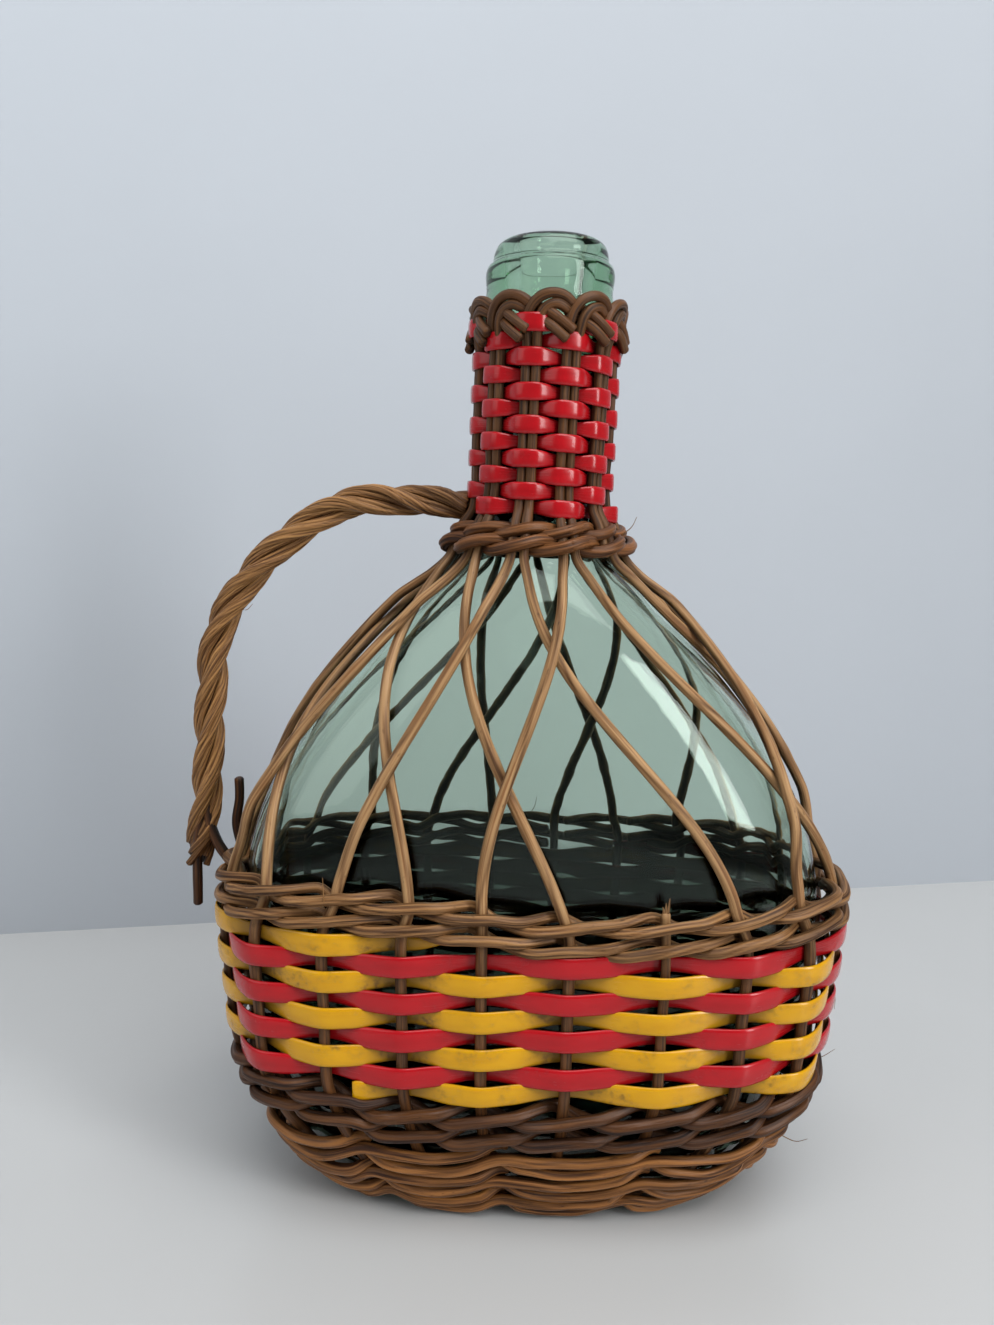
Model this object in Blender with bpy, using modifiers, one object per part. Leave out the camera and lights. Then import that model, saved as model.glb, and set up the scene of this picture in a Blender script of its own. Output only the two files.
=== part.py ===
"""Wicker-covered glass demijohn: a flattened two-litre flask in a hand-woven cover with a rope handle.

The long axis of the flask is X, its front faces -Y and it stands on Z = 0, centred on the origin.
Every woven piece is laid out on the glass: by its share of the way round, its height and its stand-off.
"""

from functools import lru_cache
from math import cos, pi, radians, sin, sqrt, tau

import bmesh
import bpy
import numpy as np
from mathutils import Vector

MM = 0.001

# Clearances between neighbours
GAP = 0.35 * MM
SEAT_GAP = 0.6 * MM
SHOULDER_LAY = 0.9 * MM
CROSSING_GAP = 1.3 * MM

# Glass body: half sizes at the widest level, and how the outline falls away from it
GLASS_FLOOR = 6.0 * MM
WAIST_Z = 98.0 * MM
SHOULDER_TOP_Z = 208.5 * MM
BODY_HALF_WIDTH = 92.0 * MM
BODY_HALF_DEPTH = 46.0 * MM
CHORD_GAP = 0.3 / 92 * BODY_HALF_WIDTH
WIDTH_TAPER = 0.10
DEPTH_TAPER = 0.03
HEEL_HEIGHT = 72.0 * MM
HEEL_WIDTH = 21.0 * MM
HEEL_DEPTH = 11.0 * MM
WIDTH_FALL = 0.95
DEPTH_FALL = 0.6
NECK_FILLET = 3.5 * MM
SQUARENESS = ((6, 2.7), (20, 3.0), (45, 3.4), (60, 3.5), (105, 3.5), (130, 3.1), (155, 2.7), (180, 2.3), (207, 2.0))
GLASS_WALL = 2.6 * MM
GLASS_BASE = 5.0 * MM
FLAT_FLOOR = 0.9
INNER_FLOOR = 0.8
INNER_HEEL = 0.96

# Neck and mouth of the glass
NECK_RADIUS = 17.4 * MM
FINISH_RADIUS = 19.6 * MM
FINISH_LOW_Z = 272.0 * MM
FINISH_TOP_Z = 291.8 * MM
LIP_RADIUS = 17.8 * MM
LIP_TOP_Z = 300.0 * MM
LIP_ROUND = 2.2 * MM
FINISH_EDGE = 0.8 * MM
BORE_RADIUS = 9.25 * MM
BORE_DEPTH = 30.0 * MM
BORE_EDGE = 1.0 * MM
BORE_STEP = 6.0 * MM
NECK_BORE_RADIUS = 14.2 * MM

# Rods of the cover
STAKES = 22
PAIRS = STAKES // 2
STAKE_RADIUS = 1.5 * MM
WALE_RADIUS = 1.5 * MM
TWINE_RADIUS = 1.35 * MM
FIRST_STAKE_SHARE = -0.42 / STAKES
LANDING = 2.5
NECK_TWIST = -0.9
LATTICE_BOW = 1.35
LATTICE_STEPS = 7
OFF_WALE_SHARE = 0.15
LIFT_IN = 4
LIFT_OUT = 5
BROKEN_STAKE = 2
STUMP_HEIGHT = 1.5 * MM

# Strips
STRIP_THICKNESS = 0.9 * MM
ROW_PITCH = 5.6 * MM
BODY_STRIP_WIDTH = ROW_PITCH - SEAT_GAP
FIRST_ROW_Z = 49.5 * MM
YELLOW_START = -1.5
YELLOW_END = 86.5
RED_START = -12.0
RED_END = 76.0
NECK_PITCH = 4.85 * MM
NECK_GRIP = 0.29
NECK_STRIP_WIDTH = NECK_PITCH - SEAT_GAP
NECK_STRIP_TURNS = 9.5

# Levels of the woven bands
STAKE_FOOT_Z = 15.5 * MM
LOWER_WALE_Z = 28.0 * MM
LOWER_WALE_START = -8
LOWER_WALE_STEPS = 32
UPPER_WALE_Z = 98.0 * MM
UPPER_WALE_START = 0
UPPER_WALE_STEPS = 35
WALE_SWING = WALE_RADIUS + SEAT_GAP
WALE_STEP = 2 * WALE_SWING + 2 * WALE_RADIUS + GAP
WALE_TOP_Z = 114.0 * MM
EASE = 4.5 * MM
COLLAR_LOW_Z = 206.2 * MM
COLLAR_HIGH_Z = 212.7 * MM
COLLAR_GRIP = 2.4 * MM
NECK_STRIP_START_Z = COLLAR_HIGH_Z + COLLAR_GRIP + EASE + 0.65 * STAKE_RADIUS + NECK_STRIP_WIDTH / 2
BORDER_STEM_Z = 267.5 * MM
BORDER_TOP_Z = 279.0 * MM
BORDER_LANE = 2 * STAKE_RADIUS + GAP

# Foot
MAT_HALF_WIDTH = 57.0 * MM
MAT_HALF_DEPTH = 30.5 * MM
MAT_HEIGHT = 5.4 * MM
FOOT_THICKNESS = 3.6 * MM
FOOT_SCALLOP = 1.3 * MM
SCALLOP_SHARPNESS = 6
FOOT_INSET = 1.6 * MM
FOOT_BULGE = 1.0 * MM

# Handle
HANDLE_RADIUS = 4.8 * MM
HANDLE_END_Z = 84.0 * MM
HANDLE_SQUARENESS = 2.5
HANDLE_STEPS = 16

GIRTH_SAMPLES = 1440
GLASS_SEGMENTS = 2 * STAKES
FOOT_SEGMENTS = 6 * PAIRS

COLLECTION = bpy.data.collections.new("demijohn")


def clear_scene():
    for thing in list(bpy.data.objects):
        bpy.data.objects.remove(thing, do_unlink=True)
    bpy.context.scene.collection.children.link(COLLECTION)


def material(name, colour, roughness, transmission=0.0):
    made = bpy.data.materials.get(name)
    if made is None:
        made = bpy.data.materials.new(name)
        made.use_nodes = True
        shader = made.node_tree.nodes["Principled BSDF"]
        shader.inputs["Base Color"].default_value = (*colour, 1.0)
        shader.inputs["Roughness"].default_value = roughness
        shader.inputs["Metallic"].default_value = 0.0
        shader.inputs["Transmission Weight"].default_value = transmission
    return made


def green_glass():
    return material("green_glass", (0.35, 0.55, 0.42), 0.05, 0.9)


def tan_rod():
    return material("tan_rod", (0.43, 0.22, 0.09), 0.55)


def grey_rod():
    return material("grey_rod", (0.23, 0.12, 0.055), 0.6)


def brown_rod():
    return material("brown_rod", (0.17, 0.06, 0.02), 0.5)


def dark_rod():
    return material("dark_rod", (0.06, 0.028, 0.013), 0.55)


def red_strip_plastic():
    return material("red_plastic", (0.52, 0.012, 0.02), 0.3)


def yellow_strip_plastic():
    return material("yellow_plastic", (0.72, 0.38, 0.01), 0.4)


# The glass surface


def signed_power(value, power):
    return np.sign(value) * np.abs(value) ** power


def shoulder_radius(half_size, fall, rise):
    """Radius at a share of the way up the shoulder, eased into the neck."""
    quarter = cos(pi * min(rise, 1.15) / 2)
    above_neck = (half_size - NECK_RADIUS) * float(signed_power(quarter, fall))
    return NECK_RADIUS + (above_neck + sqrt(above_neck**2 + NECK_FILLET**2)) / 2


def body_radius(half_size, taper, heel, z):
    """Radius below the waist: a slow taper, and a rounded heel at the floor of the glass."""
    rise = min(max((z - GLASS_FLOOR) / (WAIST_Z - GLASS_FLOOR), 0.0), 1.0)
    up_heel = min(max((z - GLASS_FLOOR) / HEEL_HEIGHT, 0.0), 1.0)
    return half_size * (1 - taper * (1 - rise) ** 2) - heel * (1 - sqrt(1 - (1 - up_heel) ** 2))


def glass_section(z):
    """Half width, half depth and squareness of the outside of the glass at a height."""
    levels, powers = zip(*SQUARENESS)
    square = float(np.interp(z / MM, levels, powers))
    if z <= WAIST_Z:
        wide = body_radius(BODY_HALF_WIDTH, WIDTH_TAPER, HEEL_WIDTH, z)
        deep = body_radius(BODY_HALF_DEPTH, DEPTH_TAPER, HEEL_DEPTH, z)
        return wide, deep, square
    rise = (z - WAIST_Z) / (SHOULDER_TOP_Z - WAIST_Z)
    wide = shoulder_radius(BODY_HALF_WIDTH, WIDTH_FALL, rise)
    deep = shoulder_radius(BODY_HALF_DEPTH, DEPTH_FALL, rise)
    return wide, deep, square


@lru_cache(maxsize=None)
def girth_table(z):
    """Points of the section at a height, and each one's share of the way round from the front."""
    wide, deep, square = glass_section(z)
    turn = np.linspace(-pi, pi, GIRTH_SAMPLES + 1)
    x = wide * signed_power(np.sin(turn), 2 / square)
    y = -deep * signed_power(np.cos(turn), 2 / square)
    run = np.concatenate([[0.0], np.cumsum(np.hypot(np.diff(x), np.diff(y)))])
    return x, y, run / run[-1] - 0.5


def outside_value(x, y, z):
    wide, deep, square = glass_section(z)
    return abs(x / wide) ** square + abs(y / deep) ** square


def on_glass(share, z, offset=0.0):
    """The point at a share of the way round and a height, standing off square to the glass."""
    x_run, y_run, shares = girth_table(round(z, 7))
    around = (share + 0.5) % 1.0 - 0.5
    x = float(np.interp(around, shares, x_run))
    y = float(np.interp(around, shares, y_run))
    if offset == 0.0:
        return Vector((x, y, z))
    step = 0.2 * MM
    slope = Vector(
        (
            outside_value(x + step, y, z) - outside_value(x - step, y, z),
            outside_value(x, y + step, z) - outside_value(x, y - step, z),
            outside_value(x, y, z + step) - outside_value(x, y, z - step),
        )
    )
    return Vector((x, y, z)) + slope.normalized() * offset


def round_point(share, radius, z):
    turn = tau * share
    return Vector((radius * sin(turn), -radius * cos(turn), z))


# Makers


def finish(thing, finish_material, smooth=True):
    thing.data.materials.append(finish_material)
    COLLECTION.objects.link(thing)
    if smooth and thing.type == "MESH":
        thing.data.shade_smooth()
        thing.data.set_sharp_from_angle(angle=radians(40))
    return thing


def rod(name, points, radius, finish_material, sides=1):
    """A round rod along points, with closed ends."""
    curve = bpy.data.curves.new(name, "CURVE")
    curve.dimensions = "3D"
    curve.bevel_depth = radius
    curve.bevel_resolution = sides
    curve.use_fill_caps = True
    spline = curve.splines.new("POLY")
    spline.points.add(len(points) - 1)
    for spot, point in zip(spline.points, points):
        spot.co = (*point, 1.0)
    return finish(bpy.data.objects.new(name, curve), finish_material)


def strip(name, low_edge, high_edge, thickness, finish_material):
    """A flat strip between two edges, given its thickness to both sides."""
    shape = bmesh.new()
    low = [shape.verts.new(point) for point in low_edge]
    high = [shape.verts.new(point) for point in high_edge]
    for step in range(len(low) - 1):
        shape.faces.new((low[step], low[step + 1], high[step + 1], high[step]))
    mesh = bpy.data.meshes.new(name)
    shape.to_mesh(mesh)
    shape.free()
    thing = finish(bpy.data.objects.new(name, mesh), finish_material, smooth=False)
    wall = thing.modifiers.new("thickness", "SOLIDIFY")
    wall.thickness = thickness
    wall.offset = 0.0
    return thing


def loft(name, rings, finish_material, closed_round=False):
    """Skin of rings with equal counts of points, capped at both ends or joined end to end."""
    shape = bmesh.new()
    rows = [[shape.verts.new(point) for point in ring] for ring in rings]
    pairs = list(zip(rows, rows[1:]))
    if closed_round:
        pairs.append((rows[-1], rows[0]))
    for low, high in pairs:
        for step in range(len(low)):
            after = (step + 1) % len(low)
            shape.faces.new((low[step], low[after], high[after], high[step]))
    if not closed_round:
        shape.faces.new(rows[0])
        shape.faces.new(rows[-1])
    bmesh.ops.recalc_face_normals(shape, faces=shape.faces)
    mesh = bpy.data.meshes.new(name)
    shape.to_mesh(mesh)
    shape.free()
    return finish(bpy.data.objects.new(name, mesh), finish_material)


# Glass


def glass_ring(z, inset=0.0):
    return [on_glass(step / GLASS_SEGMENTS, z, -inset) for step in range(GLASS_SEGMENTS)]


def round_ring(radius, z):
    return [round_point(step / GLASS_SEGMENTS, radius, z) for step in range(GLASS_SEGMENTS)]


def scaled_ring(ring, share, z):
    return [Vector((point.x * share, point.y * share, z)) for point in ring]


def body_levels(low, high, count, crowding):
    """Heights from low to high, crowded towards low."""
    return [low + (high - low) * (step / count) ** crowding for step in range(count + 1)]


def glass_bottle():
    """One hollow body, open at the mouth: up the outside, over the lip and down the inside."""
    neck_foot_z = SHOULDER_TOP_Z + NECK_FILLET
    outside = [glass_ring(z) for z in body_levels(GLASS_FLOOR, WAIST_Z, 6, 1.8)]
    outside += [glass_ring(z) for z in reversed(body_levels(neck_foot_z, WAIST_Z, 9, 1.2)[:-1])]
    rings = [scaled_ring(outside[0], FLAT_FLOOR, GLASS_FLOOR)]
    rings += outside
    for radius, z in (
        (NECK_RADIUS, neck_foot_z + NECK_FILLET),
        (NECK_RADIUS, FINISH_LOW_Z),
        (FINISH_RADIUS, FINISH_LOW_Z + 2 * FINISH_EDGE),
        (FINISH_RADIUS, FINISH_TOP_Z - FINISH_EDGE),
        (FINISH_RADIUS - FINISH_EDGE, FINISH_TOP_Z),
        (LIP_RADIUS, FINISH_TOP_Z + FINISH_EDGE),
        (LIP_RADIUS, LIP_TOP_Z - LIP_ROUND),
        (LIP_RADIUS - LIP_ROUND / 2, LIP_TOP_Z - LIP_ROUND / 4),
        (LIP_RADIUS - 1.5 * LIP_ROUND, LIP_TOP_Z),
        (BORE_RADIUS + BORE_EDGE, LIP_TOP_Z - BORE_EDGE / 2),
        (BORE_RADIUS, LIP_TOP_Z - 2 * BORE_EDGE),
        (BORE_RADIUS, LIP_TOP_Z - BORE_DEPTH),
        (NECK_BORE_RADIUS, LIP_TOP_Z - BORE_DEPTH - BORE_STEP),
        (NECK_BORE_RADIUS, neck_foot_z + 2 * NECK_FILLET),
    ):
        rings.append(round_ring(radius, z))
    inner_floor = GLASS_FLOOR + GLASS_BASE
    shoulder_levels = body_levels(SHOULDER_TOP_Z - NECK_FILLET, WAIST_Z, 5, 1.3)
    wall_levels = body_levels(inner_floor + GLASS_BASE, WAIST_Z, 3, 1.6)
    for z in shoulder_levels + wall_levels[-2::-1]:
        rings.append(glass_ring(z, GLASS_WALL))
    floor_ring = glass_ring(inner_floor + GLASS_WALL, GLASS_WALL)
    rings.append(scaled_ring(floor_ring, INNER_HEEL, inner_floor + GLASS_WALL / 2))
    rings.append(scaled_ring(floor_ring, INNER_FLOOR, inner_floor))
    return loft("glass_bottle", rings, green_glass())


# Stand-offs from the glass


def strip_behind():
    """Middle of a strip that passes between the glass and a stake."""
    return GAP + STRIP_THICKNESS / 2


def stake_over_strip():
    return GAP + STRIP_THICKNESS + SEAT_GAP + STAKE_RADIUS


def stake_over_wale():
    return GAP + 2 * WALE_RADIUS + SEAT_GAP + STAKE_RADIUS


def stake_stand_levels():
    """Height and stand-off at each bend of a stake between the foot and the top of the upper wale."""
    low_wale = LOWER_WALE_Z - WALE_SWING - WALE_RADIUS
    rows = FIRST_ROW_Z
    rows_end = UPPER_WALE_Z - 2 * WALE_SWING
    return (
        (STAKE_FOOT_Z, stake_over_strip()),
        (low_wale - EASE, stake_over_strip()),
        (low_wale, stake_over_wale()),
        (rows - EASE, stake_over_wale()),
        (rows, stake_over_strip()),
        ((rows + rows_end) / 2, stake_over_strip()),
        (rows_end - EASE, stake_over_strip()),
        (rows_end, stake_over_wale()),
        (WALE_TOP_Z, stake_over_wale()),
    )


def stake_stand(z):
    levels, stands = zip(*stake_stand_levels())
    return float(np.interp(z, levels, stands))


def in_front(z, half_thickness):
    """Middle of a weaver of this half thickness where it passes outside a stake."""
    return stake_stand(z) + STAKE_RADIUS + SEAT_GAP + CHORD_GAP + half_thickness


def neck_strip_behind():
    return SEAT_GAP + STRIP_THICKNESS / 2


def neck_rod_stand():
    return neck_strip_behind() + STRIP_THICKNESS / 2 + GAP + STAKE_RADIUS


def neck_strip_front():
    return neck_rod_stand() + STAKE_RADIUS + GAP + STRIP_THICKNESS / 2


# Stakes


def stake_share(index):
    return FIRST_STAKE_SHARE + index / STAKES


def leans_right(index):
    """Even stakes climb to the right and pass outside; odd stakes climb to the left and pass inside."""
    return index % 2 == 0


def neck_rod_spread():
    """Share of the way round from the middle of a neck pair to the middle of either rod."""
    return (STAKE_RADIUS + GAP) / (tau * (NECK_RADIUS + neck_rod_stand()))


def neck_share(index):
    """Where a stake stands on the neck: beside its partner, turned against the body by the twist."""
    side = 1 if leans_right(index) else -1
    return stake_share(index) + side * (LANDING / STAKES - neck_rod_spread()) + NECK_TWIST / STAKES


def pair_share():
    """The middle of one pair on the neck; the others follow at even steps."""
    return (neck_share(0) + neck_share(round(2 * LANDING))) / 2


def lattice_point(index, rise):
    """A stake's middle on the shoulder, lifted where the outer rods bridge the inner ones."""
    bowed = rise**LATTICE_BOW
    share = stake_share(index) * (1 - bowed) + neck_share(index) * bowed
    lay = SHOULDER_LAY + STAKE_RADIUS
    lift = lay + (stake_over_wale() - lay) * max(0.0, 1 - rise / OFF_WALE_SHARE)
    if leans_right(index):
        lift += (2 * STAKE_RADIUS + CROSSING_GAP) * min(1.0, LIFT_IN * rise, LIFT_OUT * (1 - rise))
    return on_glass(share, WALE_TOP_Z + (COLLAR_LOW_Z - COLLAR_GRIP - WALE_TOP_Z) * rise, lift)


def shoulder_points(index):
    return [lattice_point(index, step / LATTICE_STEPS) for step in range(1, LATTICE_STEPS)]


def body_points(index):
    return [on_glass(stake_share(index), z, stand) for z, stand in stake_stand_levels()]


def collar_reach():
    """From the middle of a neck rod to the middle of a twined strand in front of it or behind."""
    return STAKE_RADIUS + GAP + CHORD_GAP + TWINE_RADIUS


def collar_radius():
    """The round in which the neck pairs stand where the two twined collars bind them."""
    wide, deep, _ = glass_section(COLLAR_LOW_Z - COLLAR_GRIP)
    return max(wide, deep) + GAP + TWINE_RADIUS + collar_reach()


def neck_points(index):
    """From the collar up the neck, then over to the right and down as one arch of the border."""
    share = neck_share(index)
    neck_radius = NECK_RADIUS + neck_rod_stand()
    points = [
        round_point(share, collar_radius(), COLLAR_LOW_Z - COLLAR_GRIP),
        round_point(share, collar_radius(), COLLAR_HIGH_Z + COLLAR_GRIP),
        round_point(share, neck_radius, COLLAR_HIGH_Z + COLLAR_GRIP + EASE),
        round_point(share, neck_radius, BORDER_STEM_Z),
    ]
    near = -neck_rod_spread() if leans_right(index) else neck_rod_spread()
    middle = share - near
    top = BORDER_TOP_Z - (0.0 if leans_right(index) else 1.1 * BORDER_LANE)
    reach = 1.0 / PAIRS
    arch = (
        (near, 0.05 * BORDER_LANE, BORDER_STEM_Z + BORDER_LANE),
        (0.26 * reach + 0.6 * near, 0.8 * BORDER_LANE, top - BORDER_LANE / 4),
        (0.60 * reach, 1.5 * BORDER_LANE, top),
        (0.98 * reach - 0.6 * near, 1.8 * BORDER_LANE, top - 1.7 * BORDER_LANE),
        (1.10 * reach - near, 1.9 * BORDER_LANE, BORDER_STEM_Z - BORDER_LANE),
    )
    points += [round_point(middle + around, neck_radius + out, z) for around, out, z in arch]
    return points


def stakes():
    for index in range(-STAKES // 2 + 1, STAKES // 2 + 1):
        name = f"stake_{index + STAKES // 2:02d}"
        lower = body_points(index)
        upper = neck_points(index)
        if index == BROKEN_STAKE:
            lower.append(on_glass(stake_share(index), WALE_TOP_Z + STUMP_HEIGHT, stake_over_wale()))
            rod(name + "_stump", lower, STAKE_RADIUS, tan_rod())
            rod(name + "_neck_end", upper, STAKE_RADIUS, tan_rod())
        else:
            rod(name, lower + shoulder_points(index) + upper, STAKE_RADIUS, tan_rod())


# Strips


def body_strip(name, start, end, row, front_on_even, finish_material):
    """A strip that climbs to the right by two rows a turn, in front of every other stake."""
    half = BODY_STRIP_WIDTH / 2
    edges = ([], [])
    for half_step in range(round(start * 2), round(end * 2) + 1):
        along = half_step / 2
        middle_z = FIRST_ROW_Z + (row + 2 * along / STAKES) * ROW_PITCH
        front = max(in_front(z, STRIP_THICKNESS / 2) for z in (middle_z - half, middle_z + half))
        for edge, z in zip(edges, (middle_z - half, middle_z + half)):
            if half_step % 2:
                offset = (front + strip_behind()) / 2
            else:
                goes_front = (half_step // 2 % 2 == 0) == front_on_even
                offset = front if goes_front else strip_behind()
            edge.append(on_glass(FIRST_STAKE_SHARE + along / STAKES, z, offset))
    return strip(name, *edges, STRIP_THICKNESS, finish_material)


def neck_strip():
    """One strip that climbs to the left, a row a turn: the odd count of pairs alternates it by itself."""
    half = NECK_STRIP_WIDTH / 2
    edges = ([], [])
    for step in range(round(NECK_STRIP_TURNS * PAIRS)):
        offset = neck_strip_behind() if step % 2 else neck_strip_front()
        for side in (-NECK_GRIP, NECK_GRIP):
            turned = (step + side) / PAIRS
            middle_z = NECK_STRIP_START_Z + turned * NECK_PITCH
            for edge, z in zip(edges, (middle_z - half, middle_z + half)):
                edge.append(round_point(pair_share() - turned, NECK_RADIUS + offset, z))
    return strip("neck_strip", *edges, STRIP_THICKNESS, red_strip_plastic())


# Wales and collars


def wale_rods(name, base_z, start, steps, finish_material):
    """Three rods woven over two stakes and behind one, each a stake ahead of the last."""
    behind = GAP + WALE_RADIUS
    for strand in range(3):
        points = []
        for half_step in range(2 * (start + strand), 2 * (start + steps - 2 + strand) + 1):
            phase = (half_step // 2 - strand) % 3
            climbed = base_z + WALE_STEP * half_step / 2 / STAKES
            if half_step % 2 == 0:
                z = climbed + (-WALE_SWING, WALE_SWING, 0.0)[phase]
                outside = in_front(z, WALE_RADIUS)
                offset = (outside, outside, behind)[phase]
            else:
                z = climbed + (0.0, WALE_SWING, -WALE_SWING)[phase]
                outside = in_front(z, WALE_RADIUS)
                offset = (outside, (outside + behind) / 2, (outside + behind) / 2)[phase]
            points.append(on_glass(FIRST_STAKE_SHARE + half_step / 2 / STAKES, z, offset))
        rod(f"{name}_{strand + 1}", points, WALE_RADIUS, finish_material, sides=0)


def collar_strands(name, z, finish_material):
    """Two strands twined round the neck pairs: one in front while the other is behind."""
    stand = collar_radius()
    reach = collar_reach()
    swing = TWINE_RADIUS + GAP
    for strand in range(2):
        points = []
        for step in range(PAIRS - 1):
            side = 1 if (step + strand) % 2 == 0 else -1
            for grip in (-NECK_GRIP, NECK_GRIP):
                share = pair_share() + (step + grip) / PAIRS
                points.append(round_point(share, stand + side * reach, z))
            points.append(round_point(share + (0.5 - NECK_GRIP) / PAIRS, stand, z + side * swing))
        rod(f"{name}_{strand + 1}", points, TWINE_RADIUS, finish_material, sides=0)


# Foot


def base_mat():
    """The woven mat under the glass, flat where it rests."""
    curve = bpy.data.curves.new("base_mat", "CURVE")
    curve.dimensions = "2D"
    curve.fill_mode = "BOTH"
    curve.extrude = MAT_HEIGHT / 2
    spline = curve.splines.new("POLY")
    spline.use_cyclic_u = True
    spline.points.add(GLASS_SEGMENTS - 1)
    square = SQUARENESS[0][1]
    for step, spot in enumerate(spline.points):
        turn = tau * step / GLASS_SEGMENTS
        x = MAT_HALF_WIDTH * float(signed_power(sin(turn), 2 / square))
        y = MAT_HALF_DEPTH * float(signed_power(cos(turn), 2 / square))
        spot.co = (x, y, 0.0, 1.0)
    thing = finish(bpy.data.objects.new("base_mat", curve), brown_rod())
    thing.location.z = MAT_HEIGHT / 2
    return thing


def foot_border():
    """The plaited foot round the mat, scalloped once for every two stakes."""
    inner = GAP
    outer = FOOT_THICKNESS
    under_stakes = STAKE_FOOT_Z - 2 * STAKE_RADIUS
    rings = []
    for step in range(FOOT_SEGMENTS):
        share = FIRST_STAKE_SHARE + step / FOOT_SEGMENTS
        pinch = FOOT_SCALLOP * abs(cos(pi * PAIRS * (share - FIRST_STAKE_SHARE))) ** SCALLOP_SHARPNESS
        profile = (
            (0.0, inner - FOOT_INSET),
            (GLASS_FLOOR - SEAT_GAP, inner - FOOT_INSET),
            (GLASS_FLOOR + 2 * SEAT_GAP, inner + SEAT_GAP),
            (under_stakes, inner + SEAT_GAP),
            (under_stakes, 2 * inner + outer - pinch),
            (under_stakes / 2, inner + SEAT_GAP + outer + FOOT_BULGE - pinch),
            (0.0, outer - pinch),
        )
        ring = []
        for z, offset in profile:
            foot = on_glass(share, max(z, GLASS_FLOOR))
            ahead = on_glass(share, HEEL_HEIGHT, GAP) - on_glass(share, HEEL_HEIGHT)
            ahead.z = 0.0
            spot = foot + ahead.normalized() * offset
            spot.z = z
            ring.append(spot)
        rings.append(ring)
    return loft("foot_border", rings, brown_rod(), closed_round=True)


# Handle


def handle():
    """The rope handle, from the collar over to the left end of the upper wale."""
    outer_wale = in_front(UPPER_WALE_Z, WALE_RADIUS) + WALE_RADIUS
    end_x = -(BODY_HALF_WIDTH + outer_wale + GAP + HANDLE_RADIUS)
    start_x = -collar_radius()
    top_z = COLLAR_HIGH_Z + COLLAR_GRIP + STAKE_RADIUS + HANDLE_RADIUS
    bend_z = WALE_TOP_Z + HANDLE_RADIUS
    span = start_x - end_x
    height = top_z - bend_z
    points = []
    for step in range(HANDLE_STEPS + 1):
        turn = pi / 2 * step / HANDLE_STEPS
        x = start_x - span * float(signed_power(sin(turn), 2 / HANDLE_SQUARENESS))
        z = bend_z + height * float(signed_power(cos(turn), 2 / HANDLE_SQUARENESS))
        points.append(Vector((x, 0.0, z)))
    points.append(Vector((end_x, 0.0, HANDLE_END_Z)))
    return rod("handle", points, HANDLE_RADIUS, tan_rod(), sides=3)


def build():
    clear_scene()
    glass_bottle()
    base_mat()
    foot_border()
    wale_rods("lower_wale_rod", LOWER_WALE_Z, LOWER_WALE_START, LOWER_WALE_STEPS, dark_rod())
    stakes()
    body_strip("yellow_strip", YELLOW_START, YELLOW_END, 0, True, yellow_strip_plastic())
    body_strip("red_strip", RED_START, RED_END, 1, False, red_strip_plastic())
    wale_rods("upper_wale_rod", UPPER_WALE_Z, UPPER_WALE_START, UPPER_WALE_STEPS, grey_rod())
    collar_strands("lower_collar_strand", COLLAR_LOW_Z, brown_rod())
    collar_strands("upper_collar_strand", COLLAR_HIGH_Z, brown_rod())
    neck_strip()
    handle()


build()
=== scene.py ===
"""Looks of a wicker-covered demijohn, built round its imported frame.

Everything is in metres in the frame's own axes: +Z up, the long side along X, the front at -Y.
A woven piece is laid out by its share of the way round (0 at the front, growing to the right),
its height, and how far it stands off the glass or lies inside the basket's outer face.
"""

import logging
import math
from collections.abc import Callable, Sequence
from dataclasses import dataclass, field
from enum import Enum

import bpy
import numpy as np
from mathutils import Matrix, Vector


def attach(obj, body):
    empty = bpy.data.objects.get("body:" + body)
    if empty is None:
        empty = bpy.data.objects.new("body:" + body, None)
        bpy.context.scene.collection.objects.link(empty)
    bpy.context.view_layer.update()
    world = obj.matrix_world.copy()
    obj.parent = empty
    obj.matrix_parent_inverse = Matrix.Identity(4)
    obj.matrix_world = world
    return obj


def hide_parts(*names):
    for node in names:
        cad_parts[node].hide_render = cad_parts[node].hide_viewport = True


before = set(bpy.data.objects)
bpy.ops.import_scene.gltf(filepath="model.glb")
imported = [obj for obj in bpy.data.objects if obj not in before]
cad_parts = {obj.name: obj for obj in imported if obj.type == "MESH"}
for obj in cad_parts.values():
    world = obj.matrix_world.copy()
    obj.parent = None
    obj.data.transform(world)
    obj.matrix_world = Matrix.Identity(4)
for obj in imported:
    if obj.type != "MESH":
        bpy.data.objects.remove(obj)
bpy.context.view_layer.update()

log = logging.getLogger("demijohn")
Array = np.ndarray
Triple = tuple[float, float, float]
Colour = tuple[float, float, float]
Fed = bpy.types.NodeSocket
Inputs = dict[str | int, object]

MM = 0.001
TAU = math.tau
ROOT = "root"

# Places on the cover are counted in stakes from the front, growing to the right.
STAKES = 22
PAIRS = STAKES // 2
FIRST_STAKE_SHARE = -0.42 / STAKES
BROKEN_STAKE = 2
# How many stakes a rod climbs past on the shoulder, and how far the neck's pairs are turned.
LANDING = 2.5
NECK_TWIST = -0.9
# Above its root the neck leans to the right, by this share of the height.
NECK_ROOT_Z = 208.0 * MM
NECK_LEAN = 0.024
# A stake, and how far it stands from its even place, in stakes.
STAKE_SHIFTS = (
    (-11.0, 0.0),
    (-3.0, -0.01),
    (-2.0, -0.065),
    (-1.0, -0.10),
    (0.0, -0.15),
    (1.0, -0.125),
    (2.0, 0.0),
    (3.0, -0.01),
    (4.0, -0.12),
    (5.0, 0.0),
    (11.0, 0.0),
)
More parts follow.
